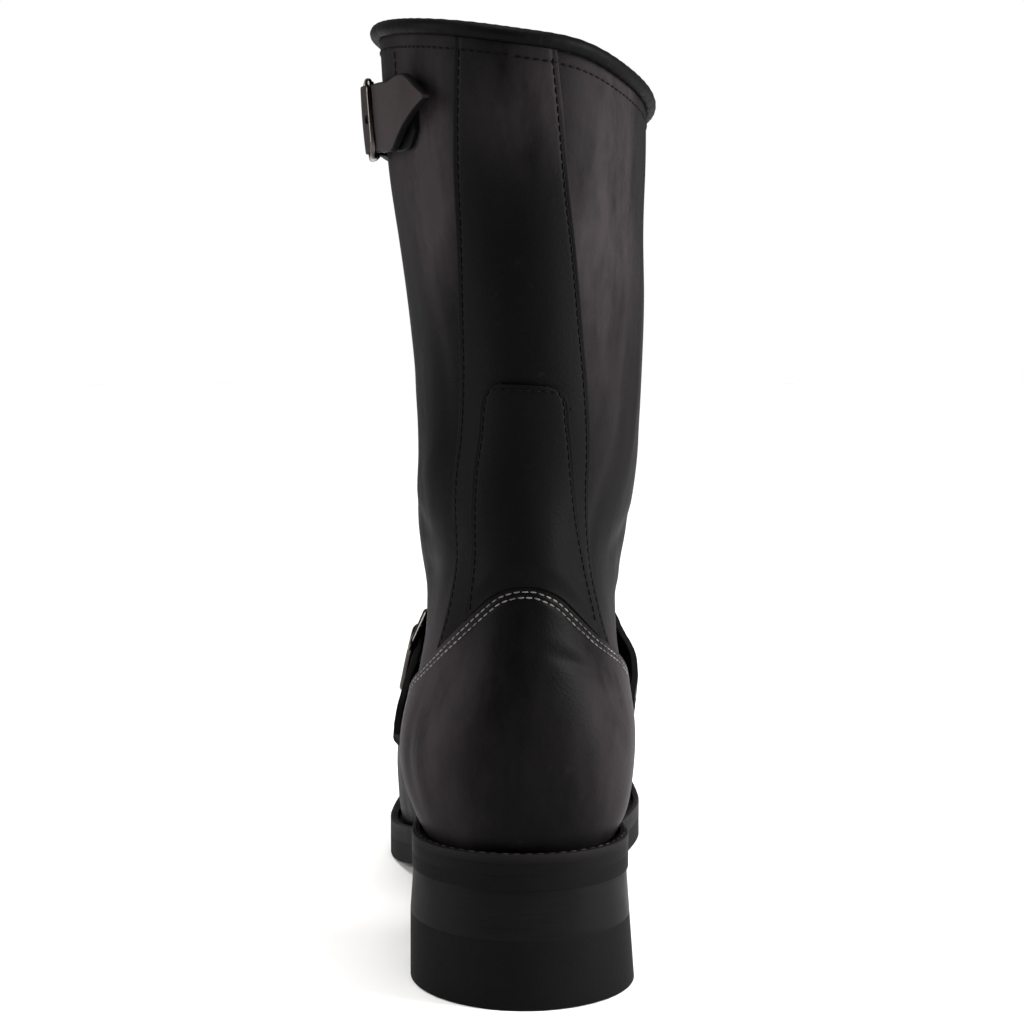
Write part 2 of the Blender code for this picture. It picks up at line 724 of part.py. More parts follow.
def build_straps():
    width = ANKLE_STRAP_WIDTH
    strap = build_strap("ankle_strap", ANKLE_STRAP, ankle_row, width, STRAP, 2)
    build_strap("ankle_chape", ANKLE_CHAPE, ankle_row, width, CHAPE, 4)
    build_buckle("ankle", ANKLE_STRAP, ankle_row, ANKLE_BUCKLE_AT, width, strap)
    width = TOP_STRAP_WIDTH
    strap = build_strap("top_strap", TOP_STRAP, top_row, width, STRAP, 2)
    build_strap("top_chape", TOP_CHAPE, top_row, width, CHAPE, 4)
    build_buckle("top", TOP_STRAP, top_row, TOP_BUCKLE_AT, width, strap)


for leftover in list(bpy.data.objects):
    bpy.data.objects.remove(leftover)
BOOT = bpy.data.collections.new("motorcycle_boot")
CUTTERS = bpy.data.collections.new("cutters")
for collection in (BOOT, CUTTERS):
    bpy.context.scene.collection.children.link(collection)

build_upper()
build_overlays()
build_collar()
build_sole()
build_straps()
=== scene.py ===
"""Dressed look of a black engineer-style motorcycle boot for the left foot.

Tables are in millimetres and meshes in metres. The origin is the middle of the heel's tread on the floor.
+Y runs to the toe, +X to the inner side of the foot and +Z up.
"""

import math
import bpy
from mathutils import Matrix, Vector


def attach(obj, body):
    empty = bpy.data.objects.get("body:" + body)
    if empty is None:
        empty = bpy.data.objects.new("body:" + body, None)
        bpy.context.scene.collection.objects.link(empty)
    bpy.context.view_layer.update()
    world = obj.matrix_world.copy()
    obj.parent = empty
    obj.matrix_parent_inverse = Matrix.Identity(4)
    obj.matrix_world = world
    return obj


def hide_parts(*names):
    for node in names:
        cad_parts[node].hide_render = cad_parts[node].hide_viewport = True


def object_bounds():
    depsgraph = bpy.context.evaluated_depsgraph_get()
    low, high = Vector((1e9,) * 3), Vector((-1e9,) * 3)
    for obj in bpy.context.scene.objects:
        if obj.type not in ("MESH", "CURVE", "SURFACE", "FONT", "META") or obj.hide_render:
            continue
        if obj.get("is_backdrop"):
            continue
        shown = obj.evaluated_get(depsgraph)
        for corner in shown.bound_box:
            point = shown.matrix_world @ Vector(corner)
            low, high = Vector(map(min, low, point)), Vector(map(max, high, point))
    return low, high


bl_info = {
    "name": "Motorcycle Boot",
    "version": (1, 0, 0),
    "blender": (4, 5, 0),
    "location": "3D View > Sidebar > Boot",
    "description": "Dresses the solids of a left engineer-style motorcycle boot",
    "category": "Object",
}

from collections import namedtuple

import bmesh
import bpy
import numpy as np
from bpy.props import FloatProperty, FloatVectorProperty, PointerProperty
from mathutils import Vector

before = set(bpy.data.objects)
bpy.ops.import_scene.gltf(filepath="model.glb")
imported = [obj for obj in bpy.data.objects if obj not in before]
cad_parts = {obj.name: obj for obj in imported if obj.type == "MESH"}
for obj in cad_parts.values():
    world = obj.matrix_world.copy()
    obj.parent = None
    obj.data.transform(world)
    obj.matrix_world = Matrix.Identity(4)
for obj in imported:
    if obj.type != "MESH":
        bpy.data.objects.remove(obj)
CAD_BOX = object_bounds()

MM = 0.001
WELD = 0.002
SHARP = math.radians(42.0)

# Driving sizes of the boot
HEEL_REAR, TOE_TIP, HEEL_BREAST, HEEL_HALF = -36.5, 267.5, 43.0, 37.5
BALL_LATERAL, BALL_MEDIAL = 54.4, 49.7
WAIST_LATERAL, WAIST_MEDIAL = 36.0, 29.0
TOE_IN, TOE_IN_FROM = 5.0, 0.55
COLLAR_LEAN, COLLAR_WAVE = 12.5, 2.0
COLLAR_SWELL, SWELL_AT, SWELL_TURN = 1.7, 0.075, 0.055
GAP, OVERLAY_GAP, STRIP_GAP, OVERLAY_REST = 0.3, 0.7, 0.4, 0.1
UPPER_WALL, OVERLAY, BACK_STRIP, BACK_PATCH = 2.2, 1.8, 1.4, 0.9
WELT, MIDSOLE, INSOLE, HEEL_LIFT = 3.2, 3.4, 3.0, 22.5
STRAP, CHAPE, STRAP_WIDTH = 2.6, 1.6, 22.5
HEEL_FLARE, STACK_FLARE, HEEL_SHIFT = 1.6, 0.72, 0.8
COLLAR_BEAD, COLLAR_OVERHANG, COLLAR_SEAT = 2.5, 0.8, 2.4
UPPER_FOOT, OVERLAY_FOOT, FLARE_CLEARANCE = 0.5, 0.12, 1.8
SIDE_SEAM, SEAM_GAP, EDGE_ROUND = 0.21, 0.0007, 0.014

# Upper, one row for each section from the sole's edge to the collar
Ring = namedtuple(
    "Ring",
    "rear_y rear_z front_y front_z mid_x heel waist_lat waist_med ball_lat ball_med",
)
RINGS = [
    Ring(-29.8, 46.9, 259.8, 21.6, 0.0, 30.2, 29.8, 22.8, 46.8, 42.6),
    Ring(-32.4, 57.0, 263.5, 31.0, 0.0, 35.0, 34.5, 27.0, 49.0, 44.2),
    Ring(-33.8, 68.0, 263.8, 42.0, -0.8, 37.8, 37.2, 30.6, 48.8, 43.0),
    Ring(-34.5, 79.0, 259.5, 52.5, -1.1, 38.6, 38.3, 33.0, 46.6, 41.6),
    Ring(-34.2, 90.0, 250.0, 61.0, -0.9, 38.0, 38.0, 34.0, 43.0, 39.8),
    Ring(-32.8, 101.0, 233.0, 67.0, -0.4, 36.4, 36.8, 34.2, 39.0, 37.6),
    Ring(-30.8, 112.0, 210.0, 72.0, 0.0, 34.8, 35.4, 33.9, 36.2, 35.6),
    Ring(-28.8, 123.0, 185.5, 78.5, 0.0, 33.6, 34.2, 33.5, 34.2, 34.0),
    Ring(-27.0, 134.0, 163.0, 87.5, 0.0, 33.2, 33.5, 33.3, 32.8, 32.8),
    Ring(-25.9, 145.5, 143.5, 99.5, 0.0, 33.6, 33.6, 33.6, 32.6, 32.6),
    Ring(-25.2, 157.5, 127.5, 115.5, -0.2, 35.5, 35.5, 35.5, 34.5, 34.5),
    Ring(-25.0, 170.5, 116.0, 135.0, 0.3, 37.4, 37.4, 37.4, 37.0, 37.0),
    Ring(-25.3, 185.0, 109.5, 157.0, 1.9, 38.0, 38.0, 38.0, 38.0, 38.0),
    Ring(-26.1, 202.0, 106.8, 181.0, 2.3, 38.8, 38.8, 38.8, 38.8, 38.8),
    Ring(-27.5, 221.0, 106.5, 206.0, 1.5, 40.3, 40.3, 40.3, 40.3, 40.3),
    Ring(-29.4, 242.0, 107.5, 231.0, 0.2, 42.1, 42.1, 42.1, 42.1, 42.1),
    Ring(-31.8, 264.0, 109.0, 254.5, -1.6, 43.7, 43.7, 43.7, 43.7, 43.7),
    Ring(-34.2, 285.5, 110.8, 277.5, -2.4, 44.9, 44.9, 44.9, 44.9, 44.9),
    Ring(-36.0, 305.2, 112.0, 298.6, -3.0, 45.4, 45.4, 45.4, 45.4, 45.4),
]
TOP_ROW = len(RINGS) - 1
FOOT_ROW, SHAFT_ROW, FOLLOW_ROWS, LEAN_ROW = 3.0, 11.0, 4.5, 9.0
WAIST_AT, BALL_AT_LATERAL, BALL_AT_MEDIAL = 0.40, 0.65, 0.74
FOOT_REAR_ROUND, FOOT_FRONT_ROUND, SHAFT_ROUND = 0.125, 0.33, 0.5
TOE_BLUNT, SHAFT_BLUNT = 2.35, 2.0
STEP_U, STEP_ROW = 0.004, 0.08
STRIP_ROUNDS, HALVINGS = 6, 30
ARC = np.radians(np.linspace(0.0, 90.0, 6))
UP = np.array((0.0, 0.0, 1.0))
SOLE_RING = Ring(
    HEEL_REAR, 0.0, TOE_TIP, 0.0, 0.0, HEEL_HALF,
    WAIST_LATERAL, WAIST_MEDIAL, BALL_LATERAL, BALL_MEDIAL,
)

# Sole from heel to toe: height of the outsole's underside over the floor, and the outsole's own thickness
Sole = namedtuple("Sole", "y under thick")
SOLE = [
    Sole(-40.0, 39.0, 4.6),
    Sole(HEEL_BREAST - 3.0, 36.2, 4.6),
    Sole(62.0, 29.0, 5.0),
    Sole(86.0, 15.0, 6.2),
    Sole(110.0, 7.0, 7.4),
    Sole(130.0, 2.0, 8.0),
    Sole(146.0, 0.0, 8.0),
    Sole(192.0, 0.0, 8.0),
    Sole(225.0, 2.4, 8.0),
    Sole(270.0, 9.6, 7.6),
]

# Upper edge of the counter round the back seam, and throat line of the vamp, the same on both sides
Edge = namedtuple("Edge", "u row")
COUNTER_EDGE = [
    Edge(-0.21, 3.6),
    Edge(-0.17, 4.3),
    Edge(-0.14, 5.05),
    Edge(-0.115, 5.85),
    Edge(-0.088, 6.7),
    Edge(-0.06, 7.46),
    Edge(-0.035, 7.96),
    Edge(-0.013, 8.14),
    Edge(0.004, 8.17),
    Edge(0.021, 8.13),
    Edge(0.047, 7.86),
    Edge(0.072, 7.3),
    Edge(0.093, 6.78),
    Edge(0.122, 6.24),
    Edge(0.15, 5.55),
    Edge(0.17, 4.9),
    Edge(0.21, 3.6),
]
VAMP_EDGE = [
    Edge(0.21, 3.6),
    Edge(0.25, 4.3),
    Edge(0.30, 5.7),
    Edge(0.36, 7.5),
    Edge(0.42, 9.2),
    Edge(0.46, 10.2),
    Edge(0.50, 10.6),
]

# Side edges of the back strip and of the patch sewn on it, as turns round the boot from the back seam
Strip = namedtuple("Strip", "row lateral medial")
BACK_STRIP_EDGES = [
    Strip(5.0, -0.103, 0.112),
    Strip(8.0, -0.102, 0.108),
    Strip(10.5, -0.0995, 0.094),
    Strip(13.0, -0.0935, 0.075),
    Strip(15.5, -0.075, 0.060),
    Strip(18.0, -0.0625, 0.0455),
]
PATCH_EDGES = [
    Strip(6.0, -0.071, 0.096),
    Strip(8.0, -0.069, 0.092),
    Strip(10.5, -0.065, 0.070),
    Strip(12.25, -0.062, 0.049),
    Strip(12.66, -0.058, 0.045),
    Strip(12.84, -0.050, 0.037),
    Strip(12.91, -0.038, 0.025),
]
STRIP_TOP_ROW = TOP_ROW
PATCH_CROWN, PATCH_DIVE, PATCH_DIVE_ROWS = 0.6, 0.9, 0.7

# Straps: turns from the back seam, height of the inner face over the upper, share of the full width, and
# share of the half width that the middle moves up
Hold = namedtuple("Hold", "u lift width shift", defaults=(1.0, 0.0))
STRAP_PIVOT_Y, STRAP_PIVOT_Z, STRAP_BLEND = 85.0, 92.0, 15.0
STRAP_RISE_LATERAL, STRAP_RISE_MEDIAL, STRAP_RISE_FRONT = 0.60, 0.38, 0.75
STRAP_DROP, STRAP_DROP_FROM, STRAP_DROP_TURN = 2.5, 0.55, 0.12
STRAP_CROSS_FROM, STRAP_CROSS_TURN = 0.42, 0.16
TOP_STRAP_ROW = 16.75
ANKLE_STRAP = [
    Hold(0.180, 3.5),
    Hold(0.189, 4.6),
    Hold(0.202, 5.8),
    Hold(0.222, 5.6),
    Hold(0.243, 3.6),
    Hold(0.270, 1.8),
    Hold(0.320, 1.5),
    Hold(0.380, 2.4),
    Hold(0.440, 4.0),
    Hold(0.500, 4.5),
    Hold(0.560, 4.0),
    Hold(0.620, 2.4),
    Hold(0.690, 1.2),
    Hold(0.709, 1.0),
    Hold(0.724, 1.4),
    Hold(0.742, 5.2),
    Hold(0.757, 3.4),
    Hold(0.772, 2.5),
    Hold(0.788, 2.45),
    Hold(0.803, 2.5),
    Hold(0.811, 3.3, 0.85),
    Hold(0.8165, 4.4, 0.2),
]
ANKLE_CHAPE = [
    Hold(0.748, 0.8),
    Hold(0.764, 0.7),
    Hold(0.780, 0.7),
]
TOP_STRAP = [
    Hold(0.640, 0.5),
    Hold(0.680, 0.6),
    Hold(0.715, 0.6),
    Hold(0.738, 0.7),
    Hold(0.757, 2.5),
    Hold(0.775, 4.8),
    Hold(0.782, 4.9),
    Hold(0.793, 3.2),
    Hold(0.808, 1.9),
    Hold(0.845, 2.2),
    Hold(0.880, 3.4, 0.69, 0.51),
    Hold(0.900, 4.1, 0.28, 0.58),
    Hold(0.910, 4.4, 0.08, 0.60),
]
# Past 0.850 the top chape runs on as a dark tongue below the strap's pointed tip: painted shadow where the
# lifted tip shades the shaft.
TOP_CHAPE_AND_PAINTED_SHADOW = [
    Hold(0.7808, 0.4),
    Hold(0.815, 0.2),
    Hold(0.850, 0.2),
    Hold(0.869, 0.2, 0.85),
    Hold(0.879, 0.2, 0.4),
]
ANKLE_HOLES, ANKLE_BUCKLE_AT = (0.713, 0.7445, 0.775, 0.800), 0.742
TOP_HOLES, TOP_BUCKLE_AT = (0.700, 0.744, 0.788), 0.775
BUCKLE_REACH, BUCKLE_CORNER, BUCKLE_WIRE, BUCKLE_FLAT = 12.0, 5.0, 1.0, 1.25
BUCKLE_BAR, BUCKLE_SIDE_PLAY, BUCKLE_PLAY = 1.0, 0.3, 0.05
PRONG, PRONG_KNEE, PRONG_LIFT, PRONG_TIP, HOLE_AT = 0.6, 4.2, 1.5, 0.5, 2.2

# Creases: where each lies, its length and width, its tilt from level in degrees, and its rise
Spot = namedtuple("Spot", "u row length width tilt rise")
CREASES = [
    Spot(0.150, 13.2, 48.0, 7.0, 84.0, -0.7),
    Spot(0.185, 12.7, 44.0, 7.5, 80.0, 0.7),
    Spot(0.120, 10.6, 34.0, 6.0, 78.0, -0.6),
    Spot(0.205, 10.4, 22.0, 7.0, 14.0, -1.0),
    Spot(0.215, 9.2, 20.0, 6.0, -10.0, 0.6),
    Spot(0.800, 10.6, 22.0, 7.0, -14.0, -1.0),
    Spot(0.820, 9.3, 18.0, 6.5, 12.0, -0.9),
    Spot(0.850, 11.6, 26.0, 7.0, 30.0, 0.6),
    Spot(0.870, 13.4, 46.0, 7.0, -84.0, -0.6),
    Spot(0.890, 9.0, 20.0, 6.0, 62.0, -0.5),
    Spot(0.500, 11.3, 34.0, 6.5, 0.0, -1.8),
    Spot(0.500, 12.3, 38.0, 8.0, 0.0, 1.0),
    Spot(0.420, 11.9, 26.0, 6.5, 24.0, -1.2),
    Spot(0.580, 11.9, 26.0, 6.5, -24.0, -1.2),
    Spot(0.330, 11.6, 24.0, 7.5, 22.0, -1.0),
    Spot(0.670, 11.7, 24.0, 7.5, -22.0, -1.0),
    Spot(0.290, 13.2, 28.0, 8.0, 30.0, 0.7),
    Spot(0.710, 13.4, 28.0, 8.0, -34.0, 0.7),
    Spot(0.500, 6.9, 30.0, 4.5, 0.0, -0.7),
    Spot(0.480, 6.2, 26.0, 4.5, 6.0, -0.6),
    Spot(0.420, 5.2, 18.0, 4.0, 30.0, -0.6),
    Spot(0.580, 5.2, 18.0, 4.0, -30.0, -0.6),
    Spot(0.052, 5.95, 15.0, 3.0, -27.0, -0.5),
    Spot(0.058, 6.35, 16.0, 4.0, -27.0, 0.35),
    Spot(0.835, 2.9, 46.0, 22.0, 0.0, -1.3),
    Spot(0.860, 3.6, 16.0, 6.0, 75.0, -0.35),
    Spot(0.928, 3.4, 24.0, 3.2, 86.0, 0.45),
    Spot(0.914, 3.2, 22.0, 3.4, 94.0, -0.5),
]

# Blooms of wax that double as painted highlights on the sides that the lamps light: where each lies, its
# length, width and tilt, and its strength
BLOOMS_AND_HIGHLIGHTS = [
    Spot(0.115, 15.9, 92.0, 36.0, 84.0, 0.95),
    Spot(0.150, 12.8, 60.0, 22.0, 84.0, 0.12),
    Spot(0.870, 16.1, 58.0, 34.0, 84.0, 1.25),
    Spot(0.108, 3.9, 42.0, 40.0, 80.0, 1.1),
    Spot(0.898, 4.1, 54.0, 46.0, 84.0, 1.25),
    Spot(0.310, 14.0, 90.0, 44.0, 80.0, 0.7),
    Spot(0.690, 14.0, 90.0, 44.0, 80.0, 0.6),
    Spot(0.500, 15.0, 80.0, 50.0, 90.0, 0.6),
    Spot(0.300, 3.6, 60.0, 30.0, 10.0, 0.6),
    Spot(0.690, 3.6, 60.0, 30.0, -10.0, 0.6),
    Spot(0.500, 4.6, 50.0, 46.0, 0.0, 0.7),
]
# Wax on the back strip's top, also a painted highlight: where it lies, its length, width and tilt, and its
# strength
STRIP_BLOOMS_AND_HIGHLIGHTS = [
    Spot(0.022, 17.2, 26.0, 30.0, 90.0, 0.6),
]

# Slow unevenness of a pulled hide: waves round the boot, radians for each row up it, rise and phase
Wave = namedtuple("Wave", "around up rise phase")
CALM_ROWS, SPOT_FALL = 1.5, 2.0
WAVES = [
    Wave(5.0, 0.62, 0.16, 0.4),
    Wave(8.0, -0.94, 0.11, 2.1),
    Wave(3.0, 1.66, 0.13, 4.4),
    Wave(13.0, 1.18, 0.06, 1.3),
]

# Stitching: distance of a row from the edge, and the pitch, length and thickness of a stitch
COUNTER_ROWS = (1.7, 3.6)
STRIP_ROW, PATCH_ROW, COLLAR_ROW, WELT_ROW = 1.7, 1.4, 0.2, 0.5
CHANNEL_WIDTH = 0.55
Stitch = namedtuple("Stitch", "pitch length width")
COUNTER_STITCH = Stitch(2.7, 2.2, 0.56)
SHAFT_STITCH = Stitch(2.9, 2.4, 0.7)
WELT_STITCH = Stitch(3.8, 2.4, 0.5)
GUSSET_U, GUSSET_ROWS = 0.838, (16.9, 17.75)


def linear(code):
    """Linear colour of an sRGB hex code."""
    shares = [int(code[place:place + 2], 16) / 255.0 for place in (1, 3, 5)]
    return tuple(s / 12.92 if s <= 0.04045 else ((s + 0.055) / 1.055) ** 2.4 for s in shares)


def colour(name, description, code):
    return FloatVectorProperty(
        name=name, description=description, default=linear(code), size=3, min=0.0, max=1.0,
        subtype="COLOR",
    )


def length(name, description, millimetres):
    return FloatProperty(
        name=name, description=description, default=millimetres * MM, min=0.0, unit="LENGTH",
    )


class BootSizes(bpy.types.PropertyGroup):
    """Sizes of the surface's finer forms"""

    crease: FloatProperty(
        name="Crease depth", description="Share of each crease's own depth", default=1.0, min=0.0,
        max=2.0, subtype="FACTOR",
    )
    channel: length("Stitch channel", "Depth of the groove that the stitches lie in", 0.28)
    grain: length("Leather grain", "Width of a cell of the leather's grain", 1.0)
    cloud: length("Wax cloud", "Width of a paler patch of wax", 16.0)
    scuff: length("Scuff", "Width of a small scuff", 5.0)


class BootColours(bpy.types.PropertyGroup):
    """Colours of the boot's materials"""

    leather: colour("Leather", "Black dye of the waxed hide", "#060606")
    oiled: colour("Oiled leather", "Darker hide of the back strip", "#080808")
    bridle: colour("Strap leather", "Thick hide of the straps", "#2c2728")
    # The wax grey is also the colour of the painted highlights that the bloom spots lay on the lit sides.
    wax: colour("Wax", "Grey bloom of the wax", "#2d292b")
    scuffed: colour("Scuffed leather", "Leather where the wax is rubbed", "#332e2c")
    cut: colour("Cut edge", "Inked edge of a strap", "#0d0c0c")
    lining: colour("Lining", "Leather inside the shaft", "#3b302a")
    thread: colour("Grey thread", "Thread of the counter and vamp", "#75726f")
    black_thread: colour("Black thread", "Thread of the shaft", "#040404")
    welt_thread: colour("Welt thread", "Thread of the welt", "#343230")
    sole_edge: colour("Sole edge", "Blackened and waxed edge", "#090808")
    stack: colour("Heel stack", "Burnished edge of the stacked heel", "#090808")
    rubber: colour("Rubber", "Moulded heel and sole", "#090808")
    nickel: colour("Nickel", "Plated buckles", "#4c4845")
    board: colour("Insole", "Insole leather", "#8a6a45")
    floor: colour("Floor", "Pale studio floor", "#f4f3f2")


def lerp(a, b, t):
    return a + (b - a) * t


def smooth(t):
    t = np.clip(t, 0.0, 1.0)
    return t * t * (3.0 - 2.0 * t)


def unit(vectors):
    return vectors / np.linalg.norm(vectors, axis=-1, keepdims=True)


def dot(a, b):
    return np.sum(a * b, axis=-1)


def read(rows, at, key=None):
    """Columns of a table at places between its rows, by a smooth curve through every column."""
    values = np.array(rows, dtype=float)
    keys = np.array([getattr(row, key) for row in rows]) if key else np.arange(float(len(rows)))
    at = np.clip(np.asarray(at, dtype=float), keys[0], keys[-1])
    last = len(rows) - 1
    low = np.clip(np.searchsorted(keys, at, side="right") - 1, 0, last - 1)
    high, before, after = low + 1, np.maximum(low - 1, 0), np.minimum(low + 2, last)
    span = (keys[high] - keys[low])[..., None]
    t = (at - keys[low])[..., None] / span
    a, b = values[low], values[high]
    slope_a = (b - values[before]) / (keys[high] - keys[before])[..., None]
    slope_b = (values[after] - a) / (keys[after] - keys[low])[..., None]
    slope_a = np.where(slope_a * (b - a) <= 0.0, 0.0, slope_a)
    slope_b = np.where(slope_b * (b - a) <= 0.0, 0.0, slope_b)
    found = (2 * t**3 - 3 * t**2 + 1) * a + (t**3 - 2 * t**2 + t) * span * slope_a
    found += (3 * t**2 - 2 * t**3) * b + (t**3 - t**2) * span * slope_b
    return type(rows[0])(*np.moveaxis(found, -1, 0))


def inset(ring, step):
    """Ring drawn in by a step all round."""
    return ring._replace(
        rear_y=ring.rear_y + step, front_y=ring.front_y - step, heel=ring.heel - step,
        waist_lat=ring.waist_lat - step, waist_med=ring.waist_med - step,
        ball_lat=ring.ball_lat - step, ball_med=ring.ball_med - step,
    )


WELT_RING = inset(RINGS[0], -(OVERLAY_GAP + OVERLAY + GAP + FLARE_CLEARANCE))


def outline(ring, row, u, share=1.0, rear=FOOT_REAR_ROUND):
    """Plan of a ring. u turns from the back seam to the inner side, share draws in to the middle line."""
    turn = 2.0 * np.pi * u
    s = (1.0 - np.cos(turn)) / 2.0
    medial = np.sin(turn) >= 0.0
    shaft = smooth((row - FOOT_ROW) / (SHAFT_ROW - FOOT_ROW))
    rear_round = lerp(rear, SHAFT_ROUND, shaft)
    front_round = lerp(FOOT_FRONT_ROUND, SHAFT_ROUND, shaft)
    blunt = lerp(TOE_BLUNT, SHAFT_BLUNT, shaft)
    waist = np.where(medial, ring.waist_med, ring.waist_lat)
    ball = np.where(medial, ring.ball_med, ring.ball_lat)
    ball_at = np.where(medial, BALL_AT_MEDIAL, BALL_AT_LATERAL)
    rear_half = lerp(ring.heel, waist, smooth(s / WAIST_AT))
    front_half = lerp(waist, ball, smooth((s - WAIST_AT) / (ball_at - WAIST_AT)))
    half = np.where(s < WAIST_AT, rear_half, front_half)
    back = np.clip((rear_round - s) / rear_round, 0.0, 1.0)
    front = np.clip((s - 1.0 + front_round) / front_round, 0.0, 1.0)
    half = half * np.sqrt(1.0 - back**2) * (1.0 - front**blunt) ** (1.0 / blunt)
    middle = ring.mid_x + TOE_IN * smooth((s - TOE_IN_FROM) / (1.0 - TOE_IN_FROM)) * (1.0 - shaft)
    return middle + np.where(medial, half, -half) * share, lerp(ring.rear_y, ring.front_y, s), s


def under(y):
    return read(SOLE, y, "y").under


def outsole_top(y):
    sole = read(SOLE, y, "y")
    return sole.under + sole.thick


def midsole_low(y):
    return outsole_top(y) + GAP


def midsole_top(y):
    return midsole_low(y) + MIDSOLE


def seat(y):
    return midsole_top(y) + GAP


def places(u, row):
    return np.broadcast_arrays(np.asarray(u, dtype=float), np.asarray(row, dtype=float))


def upper_point(u, row):
    """Points of the upper's outer face before its creases."""
    u, row = places(u, row)
    ring = read(RINGS, row)
    x, y, s = outline(ring, row, u)
    z = lerp(ring.rear_z, ring.front_z, s)
    follow = 1.0 - smooth(row / FOLLOW_ROWS)
    z = z + follow * (seat(y) + UPPER_FOOT - lerp(RINGS[0].rear_z, RINGS[0].front_z, s))
    lean = COLLAR_LEAN * smooth((row - LEAN_ROW) / (TOP_ROW - LEAN_ROW))
    z = z - lean * (x - ring.mid_x) / ring.waist_med
    wave = COLLAR_WAVE * np.sin(4.0 * np.pi * u)
    swell = COLLAR_SWELL * np.exp(-((((u + 0.5) % 1.0 - 0.5 - SWELL_AT) / SWELL_TURN) ** 2))
    z = z + (wave + swell) * lean / COLLAR_LEAN
    return np.stack((x, y, z), axis=-1)


def upper_normal(u, row):
    u, row = places(u, row)
    low, high = np.maximum(row - STEP_ROW, 0.0), np.minimum(row + STEP_ROW, TOP_ROW)
    across = upper_point(u + STEP_U, row) - upper_point(u - STEP_U, row)
    along = upper_point(u, high) - upper_point(u, low)
    return unit(np.cross(across, along))


def turn_length(u, row):
    """Length of a whole turn round the upper, by a short step from a place."""
    return np.linalg.norm(upper_point(u + STEP_U, row) - upper_point(u, row), axis=-1) / STEP_U


def spread(spots, points, normals):
    """Sum of soft oval spots at points of the upper."""
    total = np.zeros(points.shape[:-1])
    for spot in spots:
        middle = upper_point(spot.u, spot.row)
        facing = upper_normal(spot.u, spot.row)
        rising = unit(UP - dot(UP, facing) * facing)
        level = np.cross(rising, facing)
        off = points - middle
        tilt = math.radians(spot.tilt)
        along = dot(off, level) * math.cos(tilt) + dot(off, rising) * math.sin(tilt)
        across = dot(off, rising) * math.cos(tilt) - dot(off, level) * math.sin(tilt)
        reach = (along / spot.length) ** 2 + (across / spot.width) ** 2
        total += spot.rise * np.exp(-reach * SPOT_FALL) * np.clip(dot(normals, facing), 0.0, 1.0)
    return total


def relief(u, row, points, normals):
    """How far the creases and the hide's unevenness lift the leather."""
    rise = spread(CREASES, points, normals)
    for wave in WAVES:
        rise += wave.rise * np.sin(2.0 * np.pi * wave.around * u + wave.up * row + wave.phase)
    calm = smooth(row / CALM_ROWS) * smooth((TOP_ROW - row) / CALM_ROWS)
    return rise * calm * bpy.context.scene.boot_sizes.crease


def paint_bloom_and_highlight(bm, verts, u, row, spots):
    """Keeps the strength of the wax bloom and painted highlight on each vertex."""
    layer = bm.verts.layers.float["bloom"]
    for vert, value in zip(verts, spread(spots, upper_point(u, row), upper_normal(u, row))):
        vert[layer] = value


def on_upper(u, row, lift):
    return upper_point(u, row) + upper_normal(u, row) * np.asarray(lift)[..., None]


def on_leather(u, row, lift):
    """Points over the creased upper."""
    u, row = places(u, row)
    points, normals = upper_point(u, row), upper_normal(u, row)
    return points + normals * (lift + relief(u, row, points, normals))[..., None]


def edge_row(edges, u):
    """Row of an overlay's upper edge. The vamp's is rounded at the front."""
    turn = (u + 0.5) % 1.0 - 0.5
    if edges is VAMP_EDGE:
        turn = 0.5 - np.hypot(0.5 - np.abs(turn), EDGE_ROUND)
    return read(edges, turn, "u").row


def new_grid(bm, columns, rows):
    """Adds a flat grid and returns its vertices with their places from 0 to 1 along both sides."""
    verts = bmesh.ops.create_grid(bm, x_segments=columns, y_segments=rows, size=0.5)["verts"]
    flat = np.array([vert.co for vert in verts]) + 0.5
    return verts, flat[:, 0], flat[:, 1]


def move(verts, points):
    for vert, point in zip(verts, points * MM):
        vert.co = point


def weld(bm):
    bmesh.ops.remove_doubles(bm, verts=bm.verts, dist=WELD * MM)


def close_ends(bm):
    bmesh.ops.holes_fill(bm, edges=[edge for edge in bm.edges if edge.is_boundary], sides=0)


def add_piece(name, bm, skins, slot, *nodes):
    """Piece at the origin with outward faces, in place of the CAD nodes that it stands for."""
    bmesh.ops.recalc_face_normals(bm, faces=bm.faces)
    for face in bm.faces:
        face.smooth = True
    for edge in bm.edges:
        if len(edge.link_faces) == 2 and edge.calc_face_angle() > SHARP:
            edge.smooth = False
    mesh = bpy.data.meshes.new(name)
    bm.to_mesh(mesh)
    bm.free()
    return add_object(name, mesh, skins, slot, *nodes)


def add_object(name, mesh, skins, slot, *nodes):
    made = bpy.data.objects.new(name, mesh)
    bpy.context.scene.collection.objects.link(made)
    for skin in skins:
        mesh.materials.append(skin)
    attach(made, "root")
    if nodes:
        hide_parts(*nodes)
    return made


def fill(tree, made, sockets):
    """Fills a node's sockets with values or links."""
    for name, value in sockets.items():
        if isinstance(value, bpy.types.NodeSocket):
            tree.links.new(value, made.inputs[name])
        else:
            made.inputs[name].default_value = value


def node(tree, kind, sockets=(), **settings):
    """Adds a shader node, sets its fields and fills its sockets."""
    made = tree.nodes.new("ShaderNode" + kind)
    for name, value in settings.items():
        setattr(made, name, value)
    fill(tree, made, dict(sockets))
    return made


def tint(base, share=1.0):
    return (*(c * share for c in base), 1.0)


